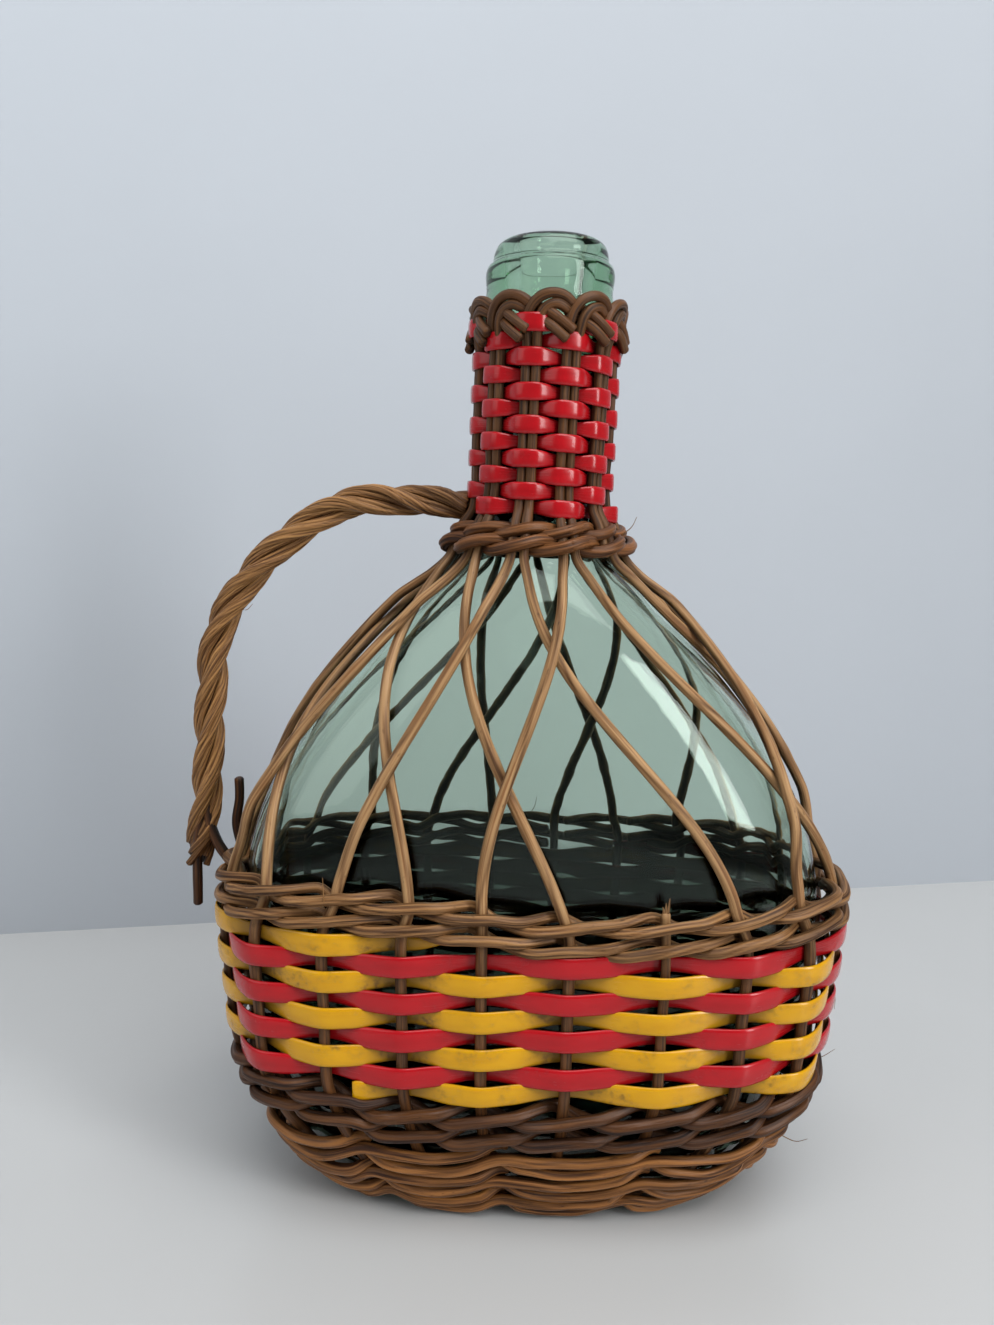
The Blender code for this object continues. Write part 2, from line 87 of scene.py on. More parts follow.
# A stake, and how far it sways low and high on the shoulder, in millimetres.
LATTICE_SWAYS = {-2: (0.0, 0.5), -1: (1.6, 0.0), 0: (-4.4, 3.0), 1: (-4.4, -1.5), 3: (1.2, -6.0)}


# Curves and sections


def unit(vectors: Array) -> Array:
    """Vectors at length one."""
    return vectors / np.maximum(np.linalg.norm(vectors, axis=-1, keepdims=True), 1e-12)


def signed_power(value: Array, power: Array | float) -> Array:
    """A power that keeps the sign of its base."""
    return np.sign(value) * np.abs(value) ** power


def ease(value: Array | float) -> Array:
    """A smooth step from 0 to 1, level at both ends."""
    clipped = np.clip(value, 0.0, 1.0)
    return clipped * clipped * (3 - 2 * clipped)


def ramp(value: Array | float, start: float, length: float) -> Array:
    """A smooth step from 0 to 1 that begins at a value and takes a length."""
    return ease((value - start) / length)


def run_along(points: Array) -> Array:
    """The distance along a line of points, from its start to each of them."""
    steps = np.linalg.norm(np.diff(points, axis=0), axis=1)
    return np.concatenate([[0.0], np.cumsum(steps)])


def square_to(forward: Array, vectors: Array) -> Array:
    """The part of each vector that lies square to a direction, at length one."""
    return unit(vectors - (vectors * forward).sum(axis=1, keepdims=True) * forward)


def ends_twice(rows: Array) -> Array:
    """The same rows, with the first and the last one repeated."""
    return np.concatenate([rows[:1], rows, rows[-1:]])


def through(points: Sequence[Sequence[float]] | Array, spacing: float) -> Array:
    """A smooth curve through points, sampled evenly.

    Args:
        points: The points it passes, of any width.
        spacing: The distance between samples.

    Returns:
        The samples, first and last point included.
    """
    points = np.asarray(points, float)
    reach = run_along(points)
    slopes = np.gradient(points, reach, axis=0)
    count = max(2, round(reach[-1] / spacing))
    wanted = np.linspace(0.0, reach[-1], count + 1)
    before = np.clip(np.searchsorted(reach, wanted, side="right") - 1, 0, len(reach) - 2)
    span = (reach[before + 1] - reach[before])[:, None]
    step = ((wanted - reach[before])[:, None]) / span
    start = (2 * step**3 - 3 * step**2 + 1) * points[before]
    start += (step**3 - 2 * step**2 + step) * span * slopes[before]
    end = (3 * step**2 - 2 * step**3) * points[before + 1]
    end += (step**3 - step**2) * span * slopes[before + 1]
    return start + end


def round_section(radius: Array, sides: int, creases: Array | None = None, depth: float = 0.0) -> Array:
    """Sections of a rod, ring by ring.

    Args:
        radius: The rod's radius at each ring.
        sides: How many points a ring has.
        creases: How deep in a groove each point of each ring lies, from 0 to 1.
        depth: How deep the grooves are, as a share of the radius.

    Returns:
        An array of rings by sides by 2: outwards, and sideways.
    """
    turn = np.arange(sides) * TAU / sides
    circle = np.stack([np.cos(turn), np.sin(turn)], axis=-1)
    placed = radius[:, None, None] * circle
    return placed if creases is None else placed * (1 - depth * creases[..., None])


GROOVE_SHARPNESS = 3


def grooves(phase: Array, sides: int, flutes: int) -> Array:
    """How deep in the grooves between its split reeds each point of a rod lies.

    Args:
        phase: How far the reeds have turned at each ring.
        sides: Points on a ring.
        flutes: How many reeds the rod is bundled from.

    Returns:
        Rings by sides, from 0 to 1.
    """
    turn = np.arange(sides)[None] * TAU / sides + phase[:, None]
    return (0.5 + 0.5 * np.cos(flutes * turn)) ** GROOVE_SHARPNESS


# A flat strip's outline, point by point: across it as a share of its half width, and in its thickness.
STRIP_ACROSS = np.array([-1.0, -0.94, -0.7, -0.35, 0.0, 0.35, 0.7, 0.94, 1.0, 0.94, 0.5, 0.0, -0.5, -0.94])
STRIP_FACE = np.array([0.0, 0.75, 1.0, 1.0, 1.0, 1.0, 1.0, 0.75, 0.0, -0.75, -1.0, -1.0, -1.0, -0.75])


def strip_section(half_width: Array, thickness: float, crown: Array) -> Array:
    """Sections of a flat strip with rounded edges and a crowned face.

    Args:
        half_width: Half the strip's width at each ring.
        thickness: Its thickness.
        crown: How far the middle stands out past the edges at each ring.

    Returns:
        An array of rings by points by 2: outwards, and sideways.
    """
    out = STRIP_FACE * thickness / 2 + crown[:, None] * (1 - STRIP_ACROSS**2)
    return np.stack([out, half_width[:, None] * STRIP_ACROSS], axis=-1)


# How strongly painted shade darkens a groove, and how far past a strand's end its rounding reaches.
CREASE_SHADE = 0.85
END_REACH = 0.25


@dataclass
class Strand:
    """One rod, reed or strip: its route, which way is out, and its sections.

    Attributes:
        route: The middle line.
        outward: The direction that faces away from the flask at each point.
        sections: Rings by points by 2, outwards and sideways.
        ageing: How dark and worn it is at each ring, from 0 to 1; on a strip it is painted shade where the
            strip passes behind.
        drift: Where along the grain it starts, in metres, so that no two look alike.
        creases: How deep in a groove each point of each ring lies, from 0 to 1.
        nestled: How far round its sides it lies in its neighbours' shade, from 0 to 1.
        end_size: The size of the rings past its ends.
    """

    route: Array
    outward: Array
    sections: Array
    ageing: Array
    drift: float = 0.0
    creases: Array | None = None
    nestled: float = 0.0
    end_size: float = 0.7

    def rings(self) -> Array:
        """Places every section square to the route."""
        forward = unit(np.gradient(self.route, axis=0))
        out = square_to(forward, self.outward)
        side = np.cross(forward, out)
        placed = self.sections[..., 0:1] * out[:, None] + self.sections[..., 1:2] * side[:, None]
        return self.route[:, None] + placed

    def with_round_ends(self) -> "Strand":
        """The same strand with one smaller ring past each end, as a knife leaves it."""
        forward = unit(np.gradient(self.route, axis=0))
        past = END_REACH * float(np.abs(self.sections).max())
        route, sections = ends_twice(self.route), ends_twice(self.sections)
        route[0] -= forward[0] * past
        route[-1] += forward[-1] * past
        sections[[0, -1]] *= self.end_size
        creases = None if self.creases is None else ends_twice(self.creases)
        outward, ageing = ends_twice(self.outward), ends_twice(self.ageing)
        return Strand(route, outward, sections, ageing, self.drift, creases, self.nestled)

    def age_and_crease_shade(self) -> Array:
        """Ageing at every vertex, with painted shade added deeper in the creases."""
        creases = np.zeros(self.sections.shape[:2]) if self.creases is None else self.creases
        # Painted shade: the grooves are darkened on top of the ageing.
        return np.clip(self.ageing[:, None] + CREASE_SHADE * creases, 0.0, 1.0)

    def inner_shade(self) -> Array:
        """How far every vertex faces the flask or its neighbours, from 0 to 1: the weight of its painted
        shade.
        """
        out = self.sections[..., 0] - self.sections[..., 0].mean(axis=1, keepdims=True)
        out = out / np.maximum(np.abs(out).max(axis=1, keepdims=True), 1e-9)
        return np.clip((self.nestled - out) / (1 + self.nestled), 0.0, 1.0)


def mesh_of(name: str, strands: Sequence[Strand], closed_round: bool = False) -> bpy.types.Mesh:
    """Skins strands into one mesh, with a grain map, its ageing with painted shade in the creases, and the
    weight of painted shade where it faces inwards.

    Args:
        name: The mesh's name.
        strands: What it is made of.
        closed_round: Whether each strand's end meets its start.

    Returns:
        A mesh whose faces point outwards.
    """
    vertices, faces, grain, ageing, inner = [], [], [], [], []
    base = 0
    for strand in strands:
        shaped = strand if closed_round else strand.with_round_ends()
        rings = shaped.rings()
        count, sides = rings.shape[:2]
        along = run_along(shaped.route) + shaped.drift
        last = count if closed_round else count - 1
        ring = np.repeat(np.arange(last), sides)
        spot = np.tile(np.arange(sides), last)
        after, beside = (ring + 1) % count, (spot + 1) % sides
        corners = [ring * sides + spot, ring * sides + beside, after * sides + beside, after * sides + spot]
        faces.extend((np.stack(corners).T + base).tolist())
        step = np.diff(along, append=2 * along[-1] - along[-2])[ring]
        low, high = along[ring], along[ring] + step
        left, right = spot / sides, (spot + 1) / sides
        grain.append(np.stack([low, left, low, right, high, right, high, left], axis=-1).reshape(-1, 2))
        if not closed_round:
            start = list(range(base + sides - 1, base - 1, -1))
            end = list(range(base + (count - 1) * sides, base + count * sides))
            faces.extend([start, end])
            ends = np.arange(sides) / sides
            grain.append(np.stack([np.full(sides, along[0]), ends[::-1]], axis=-1))
            grain.append(np.stack([np.full(sides, along[-1]), ends], axis=-1))
        vertices.append(rings.reshape(-1, 3))
        ageing.append(shaped.age_and_crease_shade().ravel())
        inner.append(shaped.inner_shade().ravel())
        base += count * sides
    mesh = bpy.data.meshes.new(name)
    mesh.from_pydata(np.vstack(vertices).tolist(), [], faces)
    layer = mesh.uv_layers.new(name="grain")
    layer.data.foreach_set("uv", np.vstack(grain).astype(np.float32).ravel())
    # The ageing attribute carries painted shade in the creases; the inner attribute weighs painted shade on
    # the inner side.
    for title, values in (("ageing", ageing), ("inner", inner)):
        layer = mesh.attributes.new(title, "FLOAT", "POINT")
        layer.data.foreach_set("value", np.concatenate(values).astype(np.float32))
    mesh.shade_smooth()
    mesh.update()
    return mesh


# Forms


@dataclass(frozen=True)
class GlassForm:
    """The outside of the glass below the neck, as half width, half depth and squareness by height."""

    floor_z: float = 6.0 * MM
    waist_z: float = 98.0 * MM
    shoulder_top_z: float = 208.5 * MM
    half_width: float = 91.4 * MM
    half_depth: float = 45.4 * MM
    width_taper: float = 0.10
    depth_taper: float = 0.03
    heel_height: float = 72.0 * MM
    heel_width: float = 21.0 * MM
    heel_depth: float = 11.0 * MM
    width_fall: float = 0.95
    depth_fall: float = 0.6
    neck_fillet: float = 3.5 * MM
    neck_radius: float = 17.4 * MM
    square_levels: tuple[float, ...] = (6, 20, 45, 60, 105, 130, 155, 180, 207)
    squareness: tuple[float, ...] = (2.7, 3.0, 3.4, 3.5, 3.5, 3.1, 2.7, 2.3, 2.0)

    def shoulder(self, half_size: float, fall: float, z: Array) -> Array:
        """Half size above the waist, eased into the neck."""
        rise = np.clip((z - self.waist_z) / (self.shoulder_top_z - self.waist_z), 0.0, 1.15)
        above = (half_size - self.neck_radius) * signed_power(np.cos(math.pi * rise / 2), fall)
        return self.neck_radius + (above + np.sqrt(above**2 + self.neck_fillet**2)) / 2

    def body(self, half_size: float, taper: float, heel: float, z: Array) -> Array:
        """Half size below the waist: a slow taper and a rounded heel."""
        rise = np.clip((z - self.floor_z) / (self.waist_z - self.floor_z), 0.0, 1.0)
        up_heel = np.clip((z - self.floor_z) / self.heel_height, 0.0, 1.0)
        return half_size * (1 - taper * (1 - rise) ** 2) - heel * (1 - np.sqrt(1 - (1 - up_heel) ** 2))

    def section(self, z: Array) -> tuple[Array, Array, Array]:
        """Half width, half depth and squareness at each height."""
        low = z <= self.waist_z
        wide = np.where(
            low,
            self.body(self.half_width, self.width_taper, self.heel_width, z),
            self.shoulder(self.half_width, self.width_fall, z),
        )
        deep = np.where(
            low,
            self.body(self.half_depth, self.depth_taper, self.heel_depth, z),
            self.shoulder(self.half_depth, self.depth_fall, z),
        )
        return wide, deep, np.interp(z / MM, self.square_levels, self.squareness)


@dataclass(frozen=True)
class BasketForm:
    """The outer face of the basket, from the floor to the top of the upper wale.

    Attributes:
        outline: Height, half width, half depth and ten times the squareness, in millimetres.
    """

    outline: tuple[tuple[float, float, float, float], ...] = (
        (-4, 56.0, 33.0, 28),
        (0, 64.1, 37.7, 28),
        (10, 77.3, 43.8, 31),
        (25, 86.7, 49.4, 34),
        (45, 94.9, 54.2, 36),
        (70, 98.2, 53.9, 37),
        (100, 100.1, 53.8, 37),
        (118, 98.2, 52.2, 36),
    )

    def section(self, z: Array) -> tuple[Array, Array, Array]:
        """Half width, half depth and squareness at each height."""
        smooth = through(self.outline, 0.5)
        height = smooth[:, 0] * MM
        wide = np.interp(z, height, smooth[:, 1]) * MM
        deep = np.interp(z, height, smooth[:, 2]) * MM
        return wide, deep, np.interp(z, height, smooth[:, 3]) / 10


class Skin:
    """A form's surface as a fine grid, read by share of the way round and height."""

    ROWS = 440
    COLUMNS = 720
    SEARCHED = 2001

    def __init__(self, form: GlassForm | BasketForm, low: float, high: float) -> None:
        """Lays the grid out.

        Args:
            form: What gives the section at a height.
            low: The lowest height.
            high: The highest height.
        """
        self.low, self.high = low, high
        heights = np.linspace(low, high, self.ROWS + 1)
        wide, deep, square = (part[:, None] for part in form.section(heights))
        turn = np.linspace(-math.pi, math.pi, 2 * self.COLUMNS + 1)[None]
        x = wide * signed_power(np.sin(turn), 2 / square)
        y = -deep * signed_power(np.cos(turn), 2 / square)
        shares = np.linspace(-0.5, 0.5, self.COLUMNS + 1)
        rows = []
        for level, height in enumerate(heights):
            run = np.concatenate([[0.0], np.cumsum(np.hypot(np.diff(x[level]), np.diff(y[level])))])
            run = run / run[-1] - 0.5
            side, depth = np.interp(shares, run, x[level]), np.interp(shares, run, y[level])
            rows.append(np.stack([side, depth, np.full(len(shares), height)], axis=-1))
        self.points = np.array(rows)
        around = np.gradient(self.points, axis=1)
        around[:, 0] = around[:, -1] = (self.points[:, 1] - self.points[:, -2]) / 2
        self.normals = unit(np.cross(around, np.gradient(self.points, axis=0)))

    def read(self, grid: Array, share: Array, z: Array) -> Array:
        """Reads a grid between its points."""
        column = ((share + 0.5) % 1.0) * self.COLUMNS
        row = np.clip((z - self.low) / (self.high - self.low), 0.0, 1.0) * self.ROWS
        left = np.minimum(column.astype(int), self.COLUMNS - 1)
        under = np.minimum(row.astype(int), self.ROWS - 1)
        right_part, upper_part = (column - left)[:, None], (row - under)[:, None]
        lower = grid[under, left] * (1 - right_part) + grid[under, left + 1] * right_part
        upper = grid[under + 1, left] * (1 - right_part) + grid[under + 1, left + 1] * right_part
        return lower * (1 - upper_part) + upper * upper_part

    def at(self, share: Array | float, z: Array | float, lift: Array | float = 0.0) -> Array:
        """Points that stand off the surface.

        Args:
            share: The share of the way round, 0 at the front.
            z: The height.
            lift: How far out, square to the surface; negative is inside.

        Returns:
            One point for each share.
        """
        share, z, lift = np.broadcast_arrays(np.atleast_1d(share).astype(float), z, lift)
        return self.read(self.points, share, z) + unit(self.read(self.normals, share, z)) * lift[:, None]

    def nearest_share(self, point: Array) -> float:
        """The share of the way round that lies nearest a point."""
        shares = np.linspace(-0.5, 0.5, self.SEARCHED)
        return float(shares[np.linalg.norm(self.at(shares, point[2]) - point, axis=1).argmin()])


GLASS_FORM = GlassForm()
GLASS = Skin(GLASS_FORM, 6.0 * MM, 217.0 * MM)
BASKET = Skin(BasketForm(), -4.0 * MM, 118.0 * MM)


def on_neck(share: Array | float, radius: Array | float, z: Array | float) -> Array:
    """Points on a circle round the neck."""
    share, radius, z = np.broadcast_arrays(np.atleast_1d(share).astype(float), radius, z)
    lean = NECK_LEAN * np.maximum(z - NECK_ROOT_Z, 0.0)
    return np.stack([radius * np.sin(TAU * share) + lean, -radius * np.cos(TAU * share), z], axis=-1)


def stake_share(along: Array | float) -> Array:
    """The share of the way round of a place counted in stakes, with the stakes' own unevenness."""
    near = (np.asarray(along, float) + PAIRS) % STAKES - PAIRS
    return FIRST_STAKE_SHARE + (along + np.interp(near, *zip(*STAKE_SHIFTS))) / STAKES


# Between these heights the flask's own section says which way is out.
HEEL_TOP_Z = 20 * MM
NECK_FOOT_Z = 207 * MM


def away_from_flask(points: Array) -> Array:
    """The level direction that faces away from the flask at each point."""
    height = np.clip(points[:, 2], HEEL_TOP_Z, NECK_FOOT_Z)
    wide, deep, square = GLASS_FORM.section(height)
    x = signed_power(points[:, 0] / wide, square - 1) / wide
    y = signed_power(points[:, 1] / deep, square - 1) / deep
    return unit(np.stack([x, y, np.zeros(len(points))], axis=-1))


# Finishes


class Socket(Enum):
    """The kinds of value that go in and out of a shader group."""

    COLOUR = "NodeSocketColor"
    NUMBER = "NodeSocketFloat"
    VECTOR = "NodeSocketVector"


class Nodes:
    """A node tree that is written down one node a line."""

    def __init__(self, tree: bpy.types.NodeTree) -> None:
        """Takes the tree to write in."""
        self.tree = tree

    @property
    def shader(self) -> bpy.types.Node:
        """The material's own shader."""
        return self.tree.nodes["Principled BSDF"]

    @property
    def output(self) -> bpy.types.Node:
        """The material's output."""
        return self.tree.nodes["Material Output"]

    def feed(self, node: bpy.types.Node, inputs: Inputs) -> None:
        """Fills a node's inputs.

        Args:
            node: The node.
            inputs: Socket name or number to a value, or to the socket that feeds it.
        """
        for key, value in inputs.items():
            if isinstance(value, Fed):
                self.tree.links.new(value, node.inputs[key])
            else:
                node.inputs[key].default_value = value

    def add(self, kind: str, inputs: Inputs | None = None, **settings: object) -> bpy.types.Node:
        """Adds a node.

        Args:
            kind: The node's type, without its ShaderNode prefix.
            inputs: Socket name or number to a value, or to the socket that feeds it.
            **settings: Attributes of the node.

        Returns:
            The node.
        """
        node = self.tree.nodes.new("ShaderNode" + kind)
        for key, value in settings.items():
            setattr(node, key, value)
        self.feed(node, inputs or {})
        return node

    def place(self) -> Fed:
        """The place on the piece, in its own axes."""
        return self.add("TexCoord").outputs["Object"]

    def grain(self) -> Fed:
        """The place along and round a strand."""
        return self.add("UVMap", uv_map="grain").outputs[0]

    def attribute(self, name: str) -> Fed:
        """One of a strand's own values."""
        return self.add("Attribute", attribute_name=name).outputs["Fac"]

    def noise(self, vector: Fed, scale: Triple, detail: float = 3.0) -> Fed:
        """Noise stretched by a scale on each axis."""
        spread = self.add("VectorMath", {0: vector, 1: scale}, operation="MULTIPLY")
        return self.add("TexNoise", {"Vector": spread.outputs[0], "Scale": 1.0, "Detail": detail}).outputs[0]

    def span(self, value: object, low: float, high: float, to_low: float, to_high: float) -> Fed:
        """Maps a range of values onto another, clamped."""
        inputs = {"Value": value, 1: low, 2: high, 3: to_low, 4: to_high}
        return self.add("MapRange", inputs, clamp=True).outputs[0]

    def mix(self, share: object, first: object, second: object) -> Fed:
        """Mixes two colours."""
        inputs = {0: share, 6: first, 7: second}
        return self.add("Mix", inputs, data_type="RGBA", blend_type="MIX", clamp_factor=True).outputs[2]

    def plus(self, first: object, second: object) -> Fed:
        """The sum of two numbers."""
        return self.add("Math", {0: first, 1: second}, operation="ADD").outputs[0]

    def times(self, first: object, second: object) -> Fed:
        """The product of two numbers."""
        return self.add("Math", {0: first, 1: second}, operation="MULTIPLY").outputs[0]

    def weighed(self, *parts: tuple[Fed, float]) -> Fed:
        """The sum of values, each times its weight."""
        total = self.times(*parts[0])
        for part in parts[1:]:
            total = self.plus(total, self.times(*part))
        return total


Writer = Callable[[Nodes, bpy.types.Node], dict[str, Fed]]
SURFACE_OUTPUTS = {"Colour": Socket.COLOUR, "Roughness": Socket.NUMBER, "Height": Socket.NUMBER}


def shader_group(name: str, inputs: dict[str, Socket], write: Writer) -> bpy.types.NodeTree:
    """Builds a shader group once, and returns it.

    Args:
        name: Its name.
        inputs: Each input's kind.
        write: Writes the nodes and says which socket feeds each output.

    Returns:
        The group's node tree, which puts out a colour, a roughness and a height.
    """
    found = bpy.data.node_groups.get(name)
    if found:
        return found
    tree = bpy.data.node_groups.new(name, "ShaderNodeTree")
    for title, kind in inputs.items():
        tree.interface.new_socket(title, in_out="INPUT", socket_type=kind.value)
    for title, kind in SURFACE_OUTPUTS.items():
        tree.interface.new_socket(title, in_out="OUTPUT", socket_type=kind.value)
    nodes = Nodes(tree)
    entry = tree.nodes.new("NodeGroupInput")
    nodes.feed(tree.nodes.new("NodeGroupOutput"), write(nodes, entry))
    return tree


def place_group(
    nodes: Nodes,
    name: str,
    write: Writer,
    colours: dict[str, Colour],
    numbers: dict[str, object],
    vectors: dict[str, Fed],
) -> bpy.types.Node:
    """Places a shader group in a material, with the material's own values.

    Args:
        nodes: The material's nodes.
        name: The group's name.
        write: Writes the group on its first use.
        colours: Its colour inputs.
        numbers: Its number inputs.
        vectors: Its vector inputs.

    Returns:
        The group's node.
    """
    kinds = dict.fromkeys(colours, Socket.COLOUR)
    kinds |= dict.fromkeys(numbers, Socket.NUMBER)
    kinds |= dict.fromkeys(vectors, Socket.VECTOR)
    inputs = {title: (*colour, 1.0) for title, colour in colours.items()}
    return nodes.add("Group", inputs | numbers | vectors, node_tree=shader_group(name, kinds, write))


# What lies deep in the weave, out of the light.
SHADE = (0.0025, 0.002, 0.002, 1.0)


def write_reed_grain(nodes: Nodes, entry: bpy.types.Node) -> dict[str, Fed]:
    """Long fibres, slow changes of tone, dark flecks, age with painted shade in the creases, and painted
    shade on the inner side.
    """
    given = entry.outputs
    fibre = nodes.noise(given["Along"], (24.0, 11.0, 1.0), 3.0)
    fine = nodes.noise(given["Along"], (90.0, 42.0, 1.0), 2.0)
    slow = nodes.noise(given["Along"], (21.0, 1.6, 1.0), 2.0)
    fleck = nodes.noise(given["Along"], (330.0, 9.0, 1.0), 3.0)
    tone = nodes.weighed((fibre, 0.55), (fine, 0.25), (slow, 0.42))
    tone = nodes.span(tone, 0.50, 0.69, 0.0, 1.0)
    fresh = nodes.mix(tone, given["Dark"], given["Light"])
    old = nodes.mix(tone, given["Aged Dark"], given["Aged Light"])
    # The ageing input carries painted shade in the creases as well as age.
    patchy = nodes.plus(given["Ageing And Shade"], nodes.span(slow, 0.3, 0.7, -0.18, 0.18))
    colour = nodes.mix(patchy, fresh, old)
    colour = nodes.mix(nodes.span(fleck, 0.64, 0.74, 0.0, 0.6), colour, given["Fleck"])
    # Painted shade on the sides that face the flask or lie against their neighbours.
    colour = nodes.mix(nodes.times(given["Inner Shade"], 0.93), colour, SHADE)
    height = nodes.weighed((fibre, 0.65), (fine, 0.35))
    return {"Colour": colour, "Roughness": nodes.span(tone, 0.0, 1.0, 0.58, 0.36), "Height": height}


def write_strip_surface(nodes: Nodes, entry: bpy.types.Node) -> dict[str, Fed]:
    """Drawn lines along the strip, slow waves of deeper tone, soiled patches, painted shade where it passes
    behind, and painted shade on its inner side.
    """
    given = entry.outputs
    drawn = nodes.noise(given["Along"], (9.0, 22.0, 1.0), 2.0)
    wave = nodes.noise(given["Along"], (70.0, 5.0, 1.0), 2.0)
    patch = nodes.noise(given["Place"], (95.0, 95.0, 150.0), 4.0)
    grit = nodes.noise(given["Place"], (620.0, 620.0, 620.0), 2.0)
    colour = nodes.mix(nodes.span(wave, 0.4, 0.75, 0.0, 0.5), given["Colour"], given["Deep"])
    soil_and_shade_mask = nodes.times(nodes.span(patch, 0.5, 0.68, 0.0, 1.0), nodes.span(grit, 0.45, 0.7, 0.25, 1.0))
    soil_and_shade_mask = nodes.times(soil_and_shade_mask, given["Soil And Shade Amount"])
    # Painted shade where the strip narrows to pass behind a stake, laid on in the soil's colour.
    edge = nodes.times(given["Ageing And Shade"], given["Soil And Shade Amount"])
    soil_and_shade_mask = nodes.plus(soil_and_shade_mask, nodes.times(edge, 0.8))
    colour = nodes.mix(soil_and_shade_mask, colour, given["Soil And Shade"])
    # Painted shade on the strip's inner side.
    colour = nodes.mix(nodes.times(given["Inner Shade"], 0.95), colour, SHADE)
    rough = nodes.plus(nodes.span(drawn, 0.3, 0.7, 0.2, 0.26), nodes.times(soil_and_shade_mask, 0.3))
    return {"Colour": colour, "Roughness": rough, "Height": nodes.weighed((drawn, 0.2), (wave, 0.8))}


def write_bottle_glass(nodes: Nodes, entry: bpy.types.Node) -> dict[str, Fed]:
    """Slow ripples of pressed glass, a greener mouth, and painted shade where the basket and the neck's
    cover hide it.
    """
    given = entry.outputs
    ripple = nodes.noise(given["Place"], (26.0, 26.0, 38.0), 3.0)
    film = nodes.noise(given["Place"], (60.0, 60.0, 45.0), 4.0)
    height = nodes.add("SeparateXYZ", {0: given["Place"]}).outputs[2]
    mouth = nodes.span(height, 0.262, 0.285, 0.0, 1.0)
    colour = nodes.mix(mouth, given["Colour"], given["Mouth"])
    edge = nodes.plus(height, nodes.span(film, 0.3, 0.7, -0.006, 0.006))
    # Painted shade on the glass inside the basket, and on the neck between the collars and the border.
    in_basket = nodes.span(edge, 0.082, 0.106, 1.0, 0.0)
    over_collar = nodes.span(height, 0.211, 0.217, 0.0, 1.0)
    under_border = nodes.span(height, 0.271, 0.276, 1.0, 0.0)
    shade_under_cover = nodes.plus(in_basket, nodes.times(over_collar, under_border))
    colour = nodes.mix(shade_under_cover, colour, given["Shade Under Cover"])
    return {"Colour": colour, "Roughness": nodes.span(film, 0.5, 0.75, 0.0, 0.05), "Height": ripple}


@dataclass(frozen=True)
class Relief:
    """A finish's bump.

    Attributes:
        strength: How strongly it turns the light.
        height: How high it stands.
    """

    strength: float
    height: float


@dataclass(frozen=True)
class Finish:
    """What every finish has: a name for its material and the record's slot."""

    name: str
    slot: str

    def write(self, nodes: Nodes) -> None:
        """Writes the finish into a new material."""
        raise NotImplementedError

    def material(self) -> bpy.types.Material:
        """The finish's material, made on first use."""
        made = bpy.data.materials.get(self.name)
        if made is None:
            made = bpy.data.materials.new(self.name)
            made.use_nodes = True
            self.write(Nodes(made.node_tree))
        return made

    @staticmethod
    def dress(nodes: Nodes, body: bpy.types.Node, relief: Relief, plain: dict[str, object]) -> None:
        """Fills the material's own shader.

        Args:
            nodes: The material's nodes.
            body: The group that gives the colour, the roughness and the height.
            relief: The bump.
            plain: What is the same all over the surface.
        """
        given = body.outputs
        bump = {"Height": given["Height"], "Strength": relief.strength, "Distance": relief.height}
        varied = {
            "Base Color": given["Colour"],
            "Roughness": given["Roughness"],
            "Normal": nodes.add("Bump", bump).outputs[0],
        }
        nodes.feed(nodes.shader, plain | varied)


@dataclass(frozen=True)
class Reed(Finish):
    """Split willow: light and dark of the clean rod and of the aged one."""

    light: Colour
    dark: Colour
    aged_light: Colour = (0.14, 0.056, 0.018)
    aged_dark: Colour = (0.016, 0.006, 0.003)
    fleck: Colour = (0.035, 0.016, 0.008)
    relief: Relief = Relief(0.75, 0.4 * MM)
    gloss: float = 0.26

    def write(self, nodes: Nodes) -> None:
        """Writes the willow into a new material."""
        colours = {
            "Light": self.light,
            "Dark": self.dark,
            "Aged Light": self.aged_light,
            "Aged Dark": self.aged_dark,
            "Fleck": self.fleck,
        }
        numbers = {"Ageing And Shade": nodes.attribute("ageing"), "Inner Shade": nodes.attribute("inner")}
        vectors = {"Along": nodes.grain()}
        body = place_group(nodes, "reed_grain", write_reed_grain, colours, numbers, vectors)
        self.dress(nodes, body, self.relief, {"Specular IOR Level": self.gloss})


@dataclass(frozen=True)
class StripPlastic(Finish):
    """Soft glossy plastic strip, with its soiling, painted shade where it passes behind, and painted shade
    on its inner side.
    """

    colour: Colour
    deep: Colour
    soil_and_shade_tone: Colour
    soil_and_shade_amount: float
    relief: Relief = Relief(0.16, 0.3 * MM)

    def write(self, nodes: Nodes) -> None:
        """Writes the plastic into a new material."""
        colours = {"Colour": self.colour, "Deep": self.deep, "Soil And Shade": self.soil_and_shade_tone}
        numbers = {
            "Ageing And Shade": nodes.attribute("ageing"),
            "Inner Shade": nodes.attribute("inner"),
            "Soil And Shade Amount": self.soil_and_shade_amount,
        }
        vectors = {"Along": nodes.grain(), "Place": nodes.place()}
        body = place_group(nodes, "strip_surface", write_strip_surface, colours, numbers, vectors)
        plain = {
            "Subsurface Weight": 0.06,
            "Subsurface Radius": (1.2 * MM, 0.6 * MM, 0.3 * MM),
            "Specular IOR Level": 0.28,
            "Coat Weight": 0.25,
            "Coat Roughness": 0.12,
        }
        self.dress(nodes, body, self.relief, plain)


